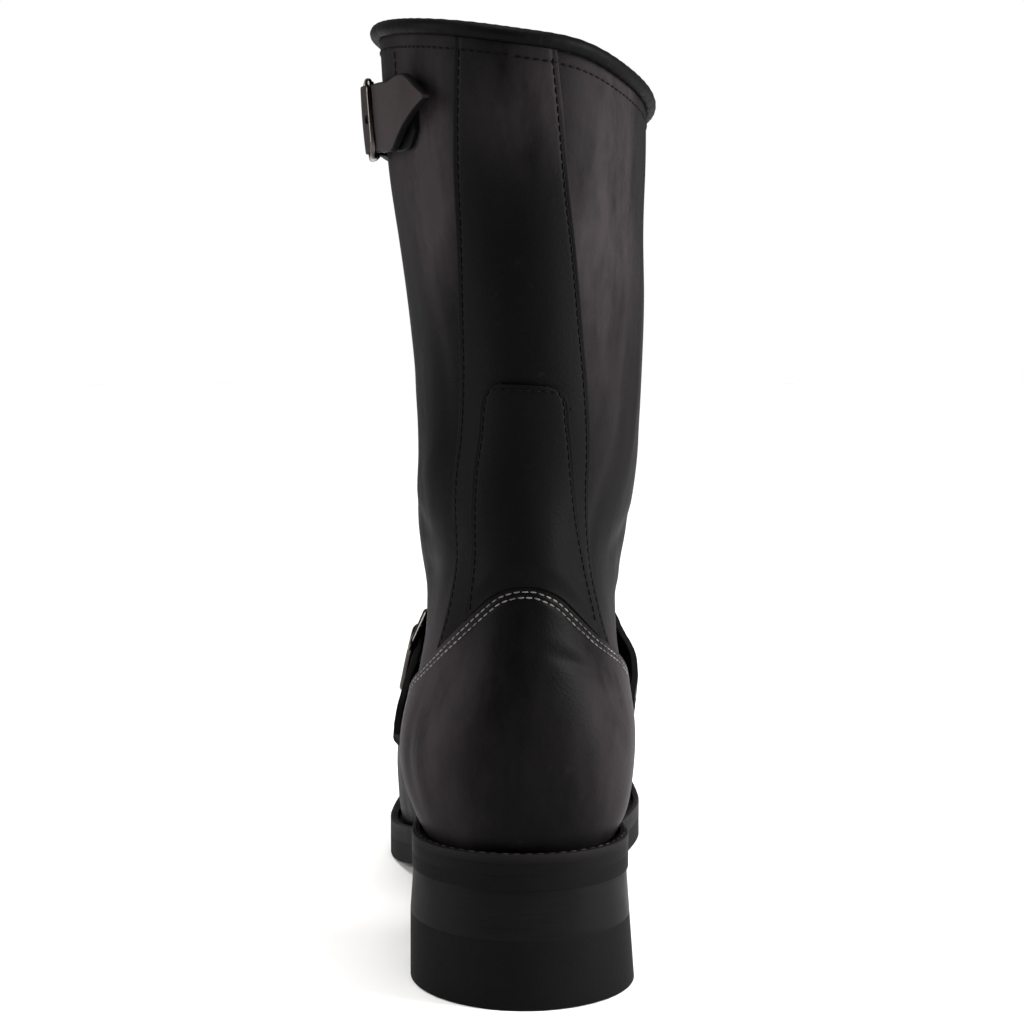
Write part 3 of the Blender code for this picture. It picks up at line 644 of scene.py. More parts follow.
class Shading:
    """Nodes of one procedural material, laid on the piece's own coordinates in metres"""

    def __init__(self, made):
        self.tree = made.node_tree
        self.colours = bpy.context.scene.boot_colours
        self.where = node(self.tree, "TexCoord").outputs["Object"]

    def stretched(self, scale):
        return node(self.tree, "Mapping", {"Vector": self.where, "Scale": scale}).outputs["Vector"]

    def noise(self, width, detail, roughness=0.5, where=None):
        return node(self.tree, "TexNoise", {
            "Vector": self.where if where is None else where, "Scale": 1.0 / width, "Detail": detail,
            "Roughness": roughness,
        }).outputs["Fac"]

    def axis(self, vector, name):
        return node(self.tree, "SeparateXYZ", {"Vector": vector}).outputs[name]

    def attribute(self, name):
        return node(self.tree, "Attribute", attribute_name=name).outputs["Fac"]

    def maths(self, operation, *values, clamp=False):
        made = node(self.tree, "Math", dict(enumerate(values)), operation=operation, use_clamp=clamp)
        return made.outputs["Value"]

    def span(self, value, low, high, to_low=0.0, to_high=1.0):
        return node(self.tree, "MapRange", {
            "Value": value, "From Min": low, "From Max": high, "To Min": to_low, "To Max": to_high,
        }).outputs["Result"]

    def mix(self, factor, low, high):
        return node(self.tree, "Mix", {0: factor, 6: low, 7: high}, data_type="RGBA").outputs[2]

    def bump(self, height, strength, distance):
        made = node(self.tree, "Bump", {"Height": height, "Strength": strength, "Distance": distance})
        return made.outputs["Normal"]

    def surface(self, **sockets):
        shader = self.tree.nodes["Principled BSDF"]
        fill(self.tree, shader, {name.replace("_", " "): value for name, value in sockets.items()})


def material(name, shade, *values, **settings):
    """Material of a name. Where it is new, a function lays its nodes."""
    made = bpy.data.materials.get(name)
    if made is None:
        made = bpy.data.materials.new(name)
        made.use_nodes = True
        shade(Shading(made), *values, **settings)
    return made


def shade_leather(nodes, dye, cut=None, shine=0.52, specular=0.03):
    """Waxed pull-up leather: a dark satin hide with a fine grain, grey blooms of wax that are partly
    painted highlights, and small scuffs.
    """
    sizes = bpy.context.scene.boot_sizes
    cloud = nodes.noise(sizes.cloud, 5.0, 0.65, nodes.stretched((1.0, 1.0, 0.35)))
    patchy = nodes.span(cloud, 0.3, 0.7, 0.25, 1.5)
    # The spots lay the grey wax colour on: partly real bloomed wax, partly painted highlight where the
    # side lamps fall on the hide.
    bloom_and_highlight_mask = nodes.maths("MULTIPLY", nodes.attribute("bloom"), patchy, clamp=True)
    uneven = nodes.mix(cloud, tint(dye, 0.6), tint(dye, 1.5))
    tone = nodes.mix(bloom_and_highlight_mask, uneven, tint(nodes.colours.wax))
    scuffed = nodes.span(nodes.noise(sizes.scuff, 6.0, 0.75), 0.62, 0.82, to_high=0.3)
    tone = nodes.mix(scuffed, tone, tint(nodes.colours.scuffed))
    if cut is not None:
        tone = nodes.mix(nodes.attribute("cut"), tone, tint(cut))
    cells = node(nodes.tree, "TexVoronoi", {
        "Vector": nodes.where, "Scale": 1.0 / sizes.grain,
    }, feature="SMOOTH_F1").outputs["Distance"]
    grain = nodes.maths("ADD", cells, nodes.noise(sizes.grain / 2.2, 3.0))
    nodes.surface(
        Base_Color=tone, Roughness=nodes.span(cloud, 0.3, 0.7, shine - 0.07, shine + 0.1),
        Normal=nodes.bump(grain, 0.35, 0.16 * MM), Specular_IOR_Level=specular,
    )


def shade_lining(nodes):
    """Undyed lining leather gone brown: dull, with a slow mottling."""
    base = nodes.colours.lining
    tone = nodes.mix(nodes.noise(18.0 * MM, 5.0), tint(base, 0.7), tint(base, 1.3))
    nap = nodes.noise(0.6 * MM, 3.0)
    nodes.surface(Base_Color=tone, Roughness=0.8, Normal=nodes.bump(nap, 0.3, 0.2 * MM))


def shade_thread(nodes, base):
    """Waxed nylon thread: a soft sheen over fine twisted strands."""
    strand = nodes.noise(0.5 * MM, 2.0)
    soiled = nodes.span(nodes.noise(7.0 * MM, 3.0), 0.38, 0.62)
    nodes.surface(
        Base_Color=nodes.mix(soiled, tint(base, 0.3), tint(base)), Roughness=0.6,
        Normal=nodes.bump(strand, 0.4, 0.1 * MM), Specular_IOR_Level=0.06,
    )


def shade_edge(nodes, base, shine, specular):
    """Cut sole leather, blackened and waxed: long fibres show as faint level streaks."""
    fibre = nodes.noise(16.0 * MM, 6.0, 0.65, nodes.stretched((1.0, 1.0, 18.0)))
    smear = nodes.noise(22.0 * MM, 3.0)
    streaks = nodes.span(nodes.maths("MULTIPLY", fibre, smear), 0.12, 0.42)
    tone = nodes.mix(streaks, tint(base, 0.7), tint(base, 1.5))
    # Paler where an edge is marked, as on the welt's outer top edge: rubbed wear and a painted highlight.
    nodes.surface(
        Base_Color=nodes.mix(nodes.attribute("cut"), tone, tint(base, 4.0)),
        Roughness=nodes.span(smear, 0.3, 0.7, shine - 0.08, shine + 0.08),
        Normal=nodes.bump(fibre, 0.3, 0.2 * MM), Specular_IOR_Level=specular,
    )


def shade_rubber(nodes):
    """Moulded black rubber: dull, with a dusty bloom, and fine ribs where it meets the floor."""
    base = nodes.colours.rubber
    dust = nodes.noise(14.0 * MM, 5.0, 0.65)
    skin = nodes.noise(0.9 * MM, 4.0)
    turns = nodes.maths("MULTIPLY", nodes.axis(nodes.where, "Y"), 2.0 * math.pi / (5.0 * MM))
    facing = nodes.axis(node(nodes.tree, "NewGeometry").outputs["Normal"], "Z")
    tread = nodes.maths("MULTIPLY", nodes.maths("SINE", turns), nodes.span(facing, -0.85, -0.95))
    height = nodes.maths("MULTIPLY_ADD", tread, 2.0, skin)
    nodes.surface(
        Base_Color=nodes.mix(dust, tint(base, 0.75), tint(base, 1.5)), Roughness=0.68,
        Normal=nodes.bump(height, 0.5, 0.3 * MM), Specular_IOR_Level=0.05,
    )


def shade_nickel(nodes):
    """Worn nickel plate: a warm grey metal, hazed by handling."""
    base = nodes.colours.nickel
    haze = nodes.noise(4.0 * MM, 5.0)
    nodes.surface(
        Base_Color=nodes.mix(haze, tint(base, 0.55), tint(base)), Metallic=1.0,
        Roughness=nodes.span(haze, 0.0, 1.0, 0.08, 0.24),
    )


def shade_board(nodes):
    """Vegetable-tanned insole leather: tan, dull and a little worn under the foot."""
    base = nodes.colours.board
    wear = nodes.noise(30.0 * MM, 5.0)
    grain = nodes.noise(0.8 * MM, 3.0)
    nodes.surface(
        Base_Color=nodes.mix(wear, tint(base, 0.5), tint(base)), Roughness=0.72,
        Normal=nodes.bump(grain, 0.3, 0.2 * MM),
    )


def shade_floor(nodes):
    """Matt floor paint with a slow cloud in its tone."""
    base = nodes.colours.floor
    cloud = nodes.noise(1.0 / 3.0, 2.0)
    nodes.surface(
        Base_Color=nodes.mix(cloud, tint(base), tint(base, 0.98)), Roughness=0.9, Specular_IOR_Level=0.1,
    )


def strip_leather():
    return material("oiled_leather", shade_leather, bpy.context.scene.boot_colours.oiled)


class BOOT_OT_shaft(bpy.types.Operator):
    """Make the hollow upper with its creases and lining"""

    bl_idname = "boot.shaft"
    bl_label = "Upper"

    AROUND, OUTER_ROWS, INNER_ROWS = 200, 170, 60

    def execute(self, context):
        bm = bmesh.new()
        bm.verts.layers.float.new("bloom")
        row_at = bm.verts.layers.float.new("row")
        inside = set()
        for rows, lift in ((self.OUTER_ROWS, 0.0), (self.INNER_ROWS, -UPPER_WALL)):
            verts, s, t = new_grid(bm, self.AROUND, rows)
            move(verts, on_leather(s, t * TOP_ROW, lift))
            paint_bloom_and_highlight(bm, verts, s, t * TOP_ROW, BLOOMS_AND_HIGHLIGHTS)
            for vert, share in zip(verts, t):
                vert[row_at] = share
            if lift < 0.0:
                inside = set(verts)
        for face in bm.faces:
            face.material_index = 1 if face.verts[0] in inside else 0
        weld(bm)
        for end in (0.0, 1.0):
            rim = [
                edge for edge in bm.edges
                if edge.is_boundary and all(abs(vert[row_at] - end) < WELD for vert in edge.verts)
            ]
            bmesh.ops.bridge_loops(bm, edges=rim)
        bm.verts.layers.float.remove(row_at)
        hide = material("waxed_leather", shade_leather, context.scene.boot_colours.leather, specular=0.02)
        lining = material("lining_leather", shade_lining)
        add_piece("shaft_leather", bm, (hide, lining), "shaft_leather", "upper")
        return {"FINISHED"}


def edge_distance(edges, u, row):
    """Distance of points on the upper from an overlay's edge."""
    def edge_point(at):
        return upper_point(at, edge_row(edges, at))

    along = unit(edge_point(u + STEP_U) - edge_point(u - STEP_U))
    off = upper_point(u, row) - edge_point(u)
    return np.linalg.norm(off - dot(off, along)[..., None] * along, axis=-1)


def row_inside(edges, u, distance):
    """Row at a distance inside an overlay's edge."""
    edge = edge_row(edges, u)
    return edge - STEP_ROW * distance / edge_distance(edges, u, edge - STEP_ROW)


def channels(distance, lines):
    """Depth of the grooves that stitches lie in, at distances from an edge."""
    depth = bpy.context.scene.boot_sizes.channel / MM
    return -depth * sum(np.exp(-((distance - line) / CHANNEL_WIDTH) ** 2) for line in lines)


def strip_place(edges, top, s, t):
    """Turn and row of a place on the back strip or its patch, which start at the counter's edge."""
    row = lerp(edge_row(COUNTER_EDGE, np.zeros_like(s)), top, t)
    for _ in range(STRIP_ROUNDS):
        sides = read(edges, row, "row")
        u = lerp(sides.lateral, sides.medial, s)
        row = lerp(edge_row(COUNTER_EDGE, u), top, t)
    return u, row


def side_distance(edges, u, row):
    """Distance of places on a strip from its nearer side edge."""
    sides = read(edges, row, "row")
    points = upper_point(u, row)
    return np.minimum(
        np.linalg.norm(points - upper_point(sides.lateral, row), axis=-1),
        np.linalg.norm(points - upper_point(sides.medial, row), axis=-1),
    )


def patch_lift(u, row):
    """Height of the patch over the upper: crowned, low at the counter and grooved along its sides."""
    sides = read(PATCH_EDGES, row, "row")
    across = (u - sides.lateral) / (sides.medial - sides.lateral)
    crown = PATCH_CROWN * np.sin(np.pi * np.clip(across, 0.0, 1.0))
    dive = PATCH_DIVE * (1.0 - smooth((row - edge_row(COUNTER_EDGE, u)) / PATCH_DIVE_ROWS))
    groove = channels(side_distance(PATCH_EDGES, u, row), (PATCH_ROW,))
    return STRIP_GAP + BACK_STRIP + STRIP_GAP + BACK_PATCH + crown - dive + groove


class BOOT_OT_overlays(bpy.types.Operator):
    """Make the counter, the vamp, the back strip and the patch on it"""

    bl_idname = "boot.overlays"
    bl_label = "Counter, vamp and back strip"

    CROWD, RIM = 1.6, 0.5
    COUNTER_GRID, VAMP_GRID, STRIP_GRID, PATCH_GRID = (170, 84), (220, 110), (90, 150), (72, 90)

    def sheet(self, name, node_name, grid, place, lift, thickness, hide, blooms_and_highlights=BLOOMS_AND_HIGHLIGHTS):
        bm = bmesh.new()
        bm.verts.layers.float.new("bloom")
        verts, s, t = new_grid(bm, *grid)
        u, row = place(s, t)
        move(verts, on_leather(u, row, lift(u, row)))
        paint_bloom_and_highlight(bm, verts, u, row, blooms_and_highlights)
        weld(bm)
        bmesh.ops.recalc_face_normals(bm, faces=bm.faces)
        bm.normal_update()
        middle = len(verts) // 2
        if Vector(upper_normal(u[middle], row[middle])).dot(verts[middle].normal) < 0.0:
            bmesh.ops.reverse_faces(bm, faces=bm.faces)
        rim = [edge for edge in bm.edges if edge.is_boundary]
        bmesh.ops.solidify(bm, geom=bm.faces[:], thickness=thickness * MM)
        bmesh.ops.bevel(
            bm, geom=rim, offset=self.RIM * MM, offset_type="OFFSET", segments=2, profile=0.5,
            affect="EDGES", material=-1, clamp_overlap=True,
        )
        add_piece(name, bm, (hide,), "shaft_leather", node_name)

    def execute(self, context):
        def between(edges, low, high):
            def place(s, t):
                u = lerp(low, high, s)
                return u, lerp(OVERLAY_FOOT, edge_row(edges, u), 1.0 - (1.0 - t) ** self.CROWD)
            return place

        def stitched(edges):
            top = OVERLAY_REST + OVERLAY
            return lambda u, row: top + channels(edge_distance(edges, u, row), COUNTER_ROWS)

        def strip_lift(u, row):
            groove = channels(side_distance(BACK_STRIP_EDGES, u, row), (STRIP_ROW,))
            return STRIP_GAP + BACK_STRIP + groove

        def strip_run(edges, top):
            return lambda s, t: strip_place(edges, top, s, t)

        leather = context.scene.boot_colours.leather
        hide = material("burnished_leather", shade_leather, leather, shine=0.46, specular=0.025)
        dark = strip_leather()
        seam = SIDE_SEAM + SEAM_GAP
        self.sheet(
            "counter_leather", "counter", self.COUNTER_GRID, between(COUNTER_EDGE, -SIDE_SEAM, SIDE_SEAM),
            stitched(COUNTER_EDGE), OVERLAY, hide,
        )
        self.sheet(
            "vamp_leather", "vamp", self.VAMP_GRID, between(VAMP_EDGE, seam, 1.0 - seam),
            stitched(VAMP_EDGE), OVERLAY, hide,
        )
        self.sheet(
            "back_strip_leather", "back_strip", self.STRIP_GRID,
            strip_run(BACK_STRIP_EDGES, STRIP_TOP_ROW), strip_lift, BACK_STRIP, dark, STRIP_BLOOMS_AND_HIGHLIGHTS,
        )
        self.sheet(
            "back_patch_leather", "back_patch", self.PATCH_GRID,
            strip_run(PATCH_EDGES, PATCH_EDGES[-1].row), patch_lift, BACK_PATCH, dark, STRIP_BLOOMS_AND_HIGHLIGHTS,
        )
        return {"FINISHED"}


def tube(bm, points, across, radii, sides, closed):
    """Round bar along points. radii are the half sizes of its section along across and square to it."""
    count = len(points)
    columns = count if closed else count - 1
    verts, s, t = new_grid(bm, columns, sides)
    index = np.rint(s * columns).astype(int) % count
    if closed:
        along = np.roll(points, -1, axis=0) - np.roll(points, 1, axis=0)
    else:
        along = np.gradient(points, axis=0)
    along = unit(along)
    first = unit(across - dot(across, along)[..., None] * along)
    second = np.cross(along, first)
    turn = 2.0 * np.pi * t
    radii = np.broadcast_to(np.asarray(radii, dtype=float), (count, 2))[index]
    section = first[index] * (np.cos(turn) * radii[:, 0])[:, None]
    section = section + second[index] * (np.sin(turn) * radii[:, 1])[:, None]
    move(verts, points[index] + section)


class BOOT_OT_collar(bpy.types.Operator):
    """Make the rolled binding of the collar"""

    bl_idname = "boot.collar"
    bl_label = "Collar roll"

    AROUND, SIDES = 260, 22
    PUCKERS, PUCKER, DRIFTS, DRIFT = 74, 0.06, 7, 3.0

    def execute(self, context):
        u = np.arange(self.AROUND) / self.AROUND
        points = on_upper(u, TOP_ROW, np.full(self.AROUND, COLLAR_OVERHANG))
        points = points + UP * COLLAR_SEAT
        up = np.broadcast_to(UP, points.shape)
        drift = self.DRIFT * np.sin(2.0 * np.pi * self.DRIFTS * u)
        bead = COLLAR_BEAD + self.PUCKER * np.sin(2.0 * np.pi * self.PUCKERS * u + drift)
        bm = bmesh.new()
        tube(bm, points, up, np.stack((bead, bead), axis=-1), self.SIDES, True)
        weld(bm)
        add_piece("collar_roll", bm, (strip_leather(),), "shaft_leather", "collar_binding")
        return {"FINISHED"}


Profile = namedtuple("Profile", "share inset level rise")
PLATE_FILL = (0.0, 0.35, 0.7, 0.93)


def plate_profile(radius, side_steps):
    """Section of a sole layer, from the middle of its top over its edge to the middle of its underside."""
    top = [Profile(share, radius, 1.0, 0.0) for share in PLATE_FILL]
    top += [Profile(1.0, radius * (1 - math.sin(a)), 1.0, -radius * (1 - math.cos(a))) for a in ARC]
    side = []
    for level in np.linspace(1.0, 0.0, side_steps + 1)[1:-1]:
        side.append(Profile(1.0, 0.0, level, radius * (1.0 - 2.0 * level)))
    low = [row._replace(level=0.0, rise=-row.rise) for row in reversed(top)]
    return top + side + low


class BOOT_OT_sole(bpy.types.Operator):
    """Make the welt, the midsole, the outsole and the stacked heel"""

    bl_idname = "boot.sole"
    bl_label = "Sole and heel"

    COLUMNS, HEEL_COLUMNS = 300, 160
    EDGE_ROUND, WELT_ROUND = 0.05, 0.6
    STACK_RECESS, HEEL_REAR_ROUND = 0.4, 0.132
    LAYER_STEPS, LIFT_STEPS, WELT_RUB = 6, 10, 0.6

    def plate(self, name, node_name, rings, heights, profile, skin, slot, end=0.5, rear=FOOT_REAR_ROUND):
        low_ring, high_ring = rings
        rows = [np.array(column) for column in zip(*profile)]
        bm = bmesh.new()
        columns = self.COLUMNS if end == 0.5 else self.HEEL_COLUMNS
        verts, s, t = new_grid(bm, columns, len(profile) - 1)
        section = Profile(*[row[np.rint(t * (len(profile) - 1)).astype(int)] for row in rows])
        ring = Ring(*[lerp(a, b, section.level) for a, b in zip(low_ring, high_ring)])
        x, y, _ = outline(inset(ring, section.inset), 0.0, lerp(-end, end, s), section.share, rear)
        low, high = heights
        z = lerp(low(y), high(y), section.level) + section.rise
        move(verts, np.stack((x, y, z), axis=-1))
        weld(bm)
        close_ends(bm)
        add_piece(name, bm, (skin,), slot, node_name)

    def execute(self, context):
        def level(y):
            return np.full_like(y, HEEL_LIFT)

        def insole_top(y):
            return seat(y) + INSOLE

        colours = context.scene.boot_colours
        edge = material("blackened_sole_edge", shade_edge, colours.sole_edge, shine=0.6, specular=0.05)
        stack = material("burnished_heel_stack", shade_edge, colours.stack, shine=0.5, specular=0.055)
        rubber, inside = material("moulded_rubber", shade_rubber), material("insole_leather", shade_board)
        thin = plate_profile(self.EDGE_ROUND, self.LAYER_STEPS)
        thick = plate_profile(self.EDGE_ROUND, self.LIFT_STEPS)
        whole = (SOLE_RING, SOLE_RING)
        board = inset(RINGS[0], UPPER_WALL + GAP + 2.0 * UPPER_FOOT)
        self.plate("outsole_tread", "outsole", whole, (under, midsole_low), thin, rubber, "sole_rubber")
        self.plate("midsole_edge", "midsole", whole, (midsole_low, seat), thin, edge, "sole_leather")
        self.plate(
            "insole_leather", "insole", (board, board), (seat, insole_top), thin, inside, "insole_board",
        )
        breast = (HEEL_BREAST - HEEL_REAR) / (TOE_TIP - HEEL_REAR)
        heel = (math.acos(1.0 - 2.0 * breast) / (2.0 * math.pi), self.HEEL_REAR_ROUND)
        top = inset(SOLE_RING, self.STACK_RECESS)
        middle = inset(SOLE_RING, -STACK_FLARE)
        foot = inset(SOLE_RING, -HEEL_FLARE)._replace(mid_x=HEEL_SHIFT)
        self.plate(
            "heel_stack_edge", "heel_stack", (middle, top), (level, under), thin, stack, "sole_leather",
            *heel,
        )
        self.plate(
            "heel_rubber", "heel_lift", (foot, middle), (np.zeros_like, level), thick, rubber,
            "sole_rubber", *heel,
        )
        self.welt(edge)
        return {"FINISHED"}

    def welt(self, skin):
        bend = self.WELT_ROUND
        section = [(0.0, 0.0, 0.0), (0.0, WELT, 0.0), (0.5, WELT, 0.0)]
        section += [(1.0, WELT - bend * (1 - math.cos(a)), bend * (1 - math.sin(a))) for a in ARC]
        section += [(1.0, 0.0, 0.0), (0.0, 0.0, 0.0)]
        share, rise, step = (np.array(column) for column in zip(*section))
        bm = bmesh.new()
        cut_at = bm.verts.layers.float.new("cut")
        verts, s, t = new_grid(bm, self.COLUMNS, len(section) - 1)
        index = np.rint(t * (len(section) - 1)).astype(int)
        ring = Ring(*[lerp(a, b, share[index]) for a, b in zip(WELT_RING, SOLE_RING)])
        x, y, _ = outline(inset(ring, step[index]), 0.0, s)
        move(verts, np.stack((x, y, seat(y) + rise[index]), axis=-1))
        for vert, at in zip(verts, index):
            # The welt's outer top edge is marked paler: partly rubbed wear, partly a painted highlight
            # along the edge.
            vert[cut_at] = self.WELT_RUB if share[at] == 1.0 and rise[at] > WELT / 2.0 else 0.0
        weld(bm)
        add_piece("welt_ledge", bm, (skin,), "sole_leather", "welt")


def top_row(u):
    return np.full_like(u, TOP_STRAP_ROW)


def ankle_row(u):
    """Row of the upper at the ankle strap's height over a turn, found by halving."""
    side = lerp(STRAP_RISE_MEDIAL, STRAP_RISE_LATERAL, smooth((u - STRAP_CROSS_FROM) / STRAP_CROSS_TURN))
    pivot = STRAP_PIVOT_Z - STRAP_DROP * smooth((u - STRAP_DROP_FROM) / STRAP_DROP_TURN)
    low, high = np.zeros_like(u), np.full_like(u, TOP_ROW)
    for _ in range(HALVINGS):
        middle = (low + high) / 2.0
        point = upper_point(u, middle)
        past = point[..., 1] - STRAP_PIVOT_Y
        bend = np.hypot(past, STRAP_BLEND) - STRAP_BLEND
        height = pivot + (STRAP_RISE_FRONT + side) / 2.0 * past + (STRAP_RISE_FRONT - side) / 2.0 * bend
        under_it = point[..., 2] < height
        low, high = np.where(under_it, middle, low), np.where(under_it, high, middle)
    return low


Fastening = namedtuple("Fastening", "name holds chape row_at stations holes buckle_at")
FASTENINGS = (
    Fastening("ankle", ANKLE_STRAP, ANKLE_CHAPE, ankle_row, 260, ANKLE_HOLES, ANKLE_BUCKLE_AT),
    Fastening("top", TOP_STRAP, TOP_CHAPE_AND_PAINTED_SHADOW, top_row, 180, TOP_HOLES, TOP_BUCKLE_AT),
)


def route(holds, row_at, u):
    """Points on a strap's inner face with its directions along the strap, across it and off the boot."""
    def point(turn):
        return on_upper(turn, row_at(turn), read(holds, turn, "u").lift)

    u = np.atleast_1d(np.asarray(u, dtype=float))
    low, high = np.maximum(u - STEP_U / 2.0, holds[0].u), np.minimum(u + STEP_U / 2.0, holds[-1].u)
    along = unit(point(high) - point(low))
    across = unit(np.cross(upper_normal(u, row_at(u)), along))
    return point(u), along, across, unit(np.cross(along, across))


def strap_section(thickness, radius, face_steps, arc_steps):
    """Section of a strap: share of the half width, distance inside it, height, and 1 on the cut edge."""
    arc = np.radians(np.linspace(0.0, 90.0, arc_steps))
    half = []
    for share in np.linspace(0.0, 1.0, face_steps):
        half.append((share, radius * share, thickness, 0.0))
    for a in arc[1:]:
        half.append((1.0, radius * (1 - math.sin(a)), thickness - radius * (1 - math.cos(a)), 1.0))
    for a in reversed(arc):
        half.append((1.0, radius * (1 - math.sin(a)), radius * (1 - math.cos(a)), 1.0))
    for share in np.linspace(1.0, 0.0, face_steps)[1:]:
        half.append((share, radius * share, 0.0, 0.0))
    mirrored = [(-share, -step, height, cut) for share, step, height, cut in reversed(half)]
    return np.array(half + mirrored[1:])


class BOOT_OT_straps(bpy.types.Operator):
    """Make the ankle strap, the top strap and the short straps that hold their buckles"""

    bl_idname = "boot.straps"
    bl_label = "Straps"

    ROUND, CROWN = 0.55, 0.25
    FACE_STEPS, ARC_STEPS, CHAPE_STATIONS = 9, 5, 40
    HOLE, HOLE_DEPTH, HOLE_SIDES = 1.6, 12.0, 20

    def strap(self, name, node_name, holds, row_at, thickness, stations, hide):
        edge = min(self.ROUND, thickness / 3.0)
        section = strap_section(thickness, edge, self.FACE_STEPS, self.ARC_STEPS)
        bm = bmesh.new()
        cut_at = bm.verts.layers.float.new("cut")
        verts, s, t = new_grid(bm, stations, len(section) - 1)
        share, step, height, cut = section[np.rint(t * (len(section) - 1)).astype(int)].T
        u = lerp(holds[0].u, holds[-1].u, s)
        middle, along, across, off = route(holds, row_at, u)
        hold = read(holds, u, "u")
        half = STRAP_WIDTH / 2.0 * hold.width
        middle = middle + across * (STRAP_WIDTH / 2.0 * hold.shift)[:, None]
        crown = np.where(height > 0.0, self.CROWN * (1.0 - share**2), 0.0)
        points = middle + across * (share * half - step)[:, None] + off * (height + crown)[:, None]
        move(verts, points)
        for vert, value in zip(verts, cut):
            vert[cut_at] = value
        weld(bm)
        close_ends(bm)
        return add_piece(name, bm, (hide,), "strap_leather", node_name)

    def punch(self, made, holds, row_at, turns):
        """Cuts the row of holes that the prong may go through."""
        bm = bmesh.new()
        points, along, across, off = route(holds, row_at, np.array(turns))
        for point, a, b, c in zip(points, along, across, off):
            verts = bmesh.ops.create_cone(
                bm, cap_ends=True, segments=self.HOLE_SIDES, radius1=self.HOLE * MM,
                radius2=self.HOLE * MM, depth=self.HOLE_DEPTH * MM,
            )["verts"]
            for vert in verts:
                x, y, z = vert.co
                vert.co = Vector(a) * x + Vector(b) * y + Vector(c) * z + Vector(point) * MM
        bmesh.ops.recalc_face_normals(bm, faces=bm.faces)
        mesh = bpy.data.meshes.new("punch")
        bm.to_mesh(mesh)
        bm.free()
        cutter = bpy.data.objects.new("punch", mesh)
        bpy.context.scene.collection.objects.link(cutter)
        cut = made.modifiers.new("Holes", "BOOLEAN")
        cut.operation, cut.solver, cut.object = "DIFFERENCE", "EXACT", cutter
        graph = bpy.context.evaluated_depsgraph_get()
        done = bpy.data.meshes.new_from_object(made.evaluated_get(graph))
        made.modifiers.clear()
        made.data = done
        bpy.data.objects.remove(cutter)

    def execute(self, context):
        colours = context.scene.boot_colours
        hide = material("bridle_leather", shade_leather, colours.bridle, cut=colours.cut)
        for name, holds, chape, row_at, stations, holes, _ in FASTENINGS:
            made = self.strap(
                name + "_strap_leather", name + "_strap", holds, row_at, STRAP, stations, hide,
            )
            self.punch(made, holds, row_at, holes)
            # Both chapes take the darker back-strip leather; under the top strap's tip this dark leather
            # is painted shadow.
            self.strap(
                name + "_buckle_chape", name + "_chape", chape, row_at, CHAPE, self.CHAPE_STATIONS,
                strip_leather(),
            )
        return {"FINISHED"}


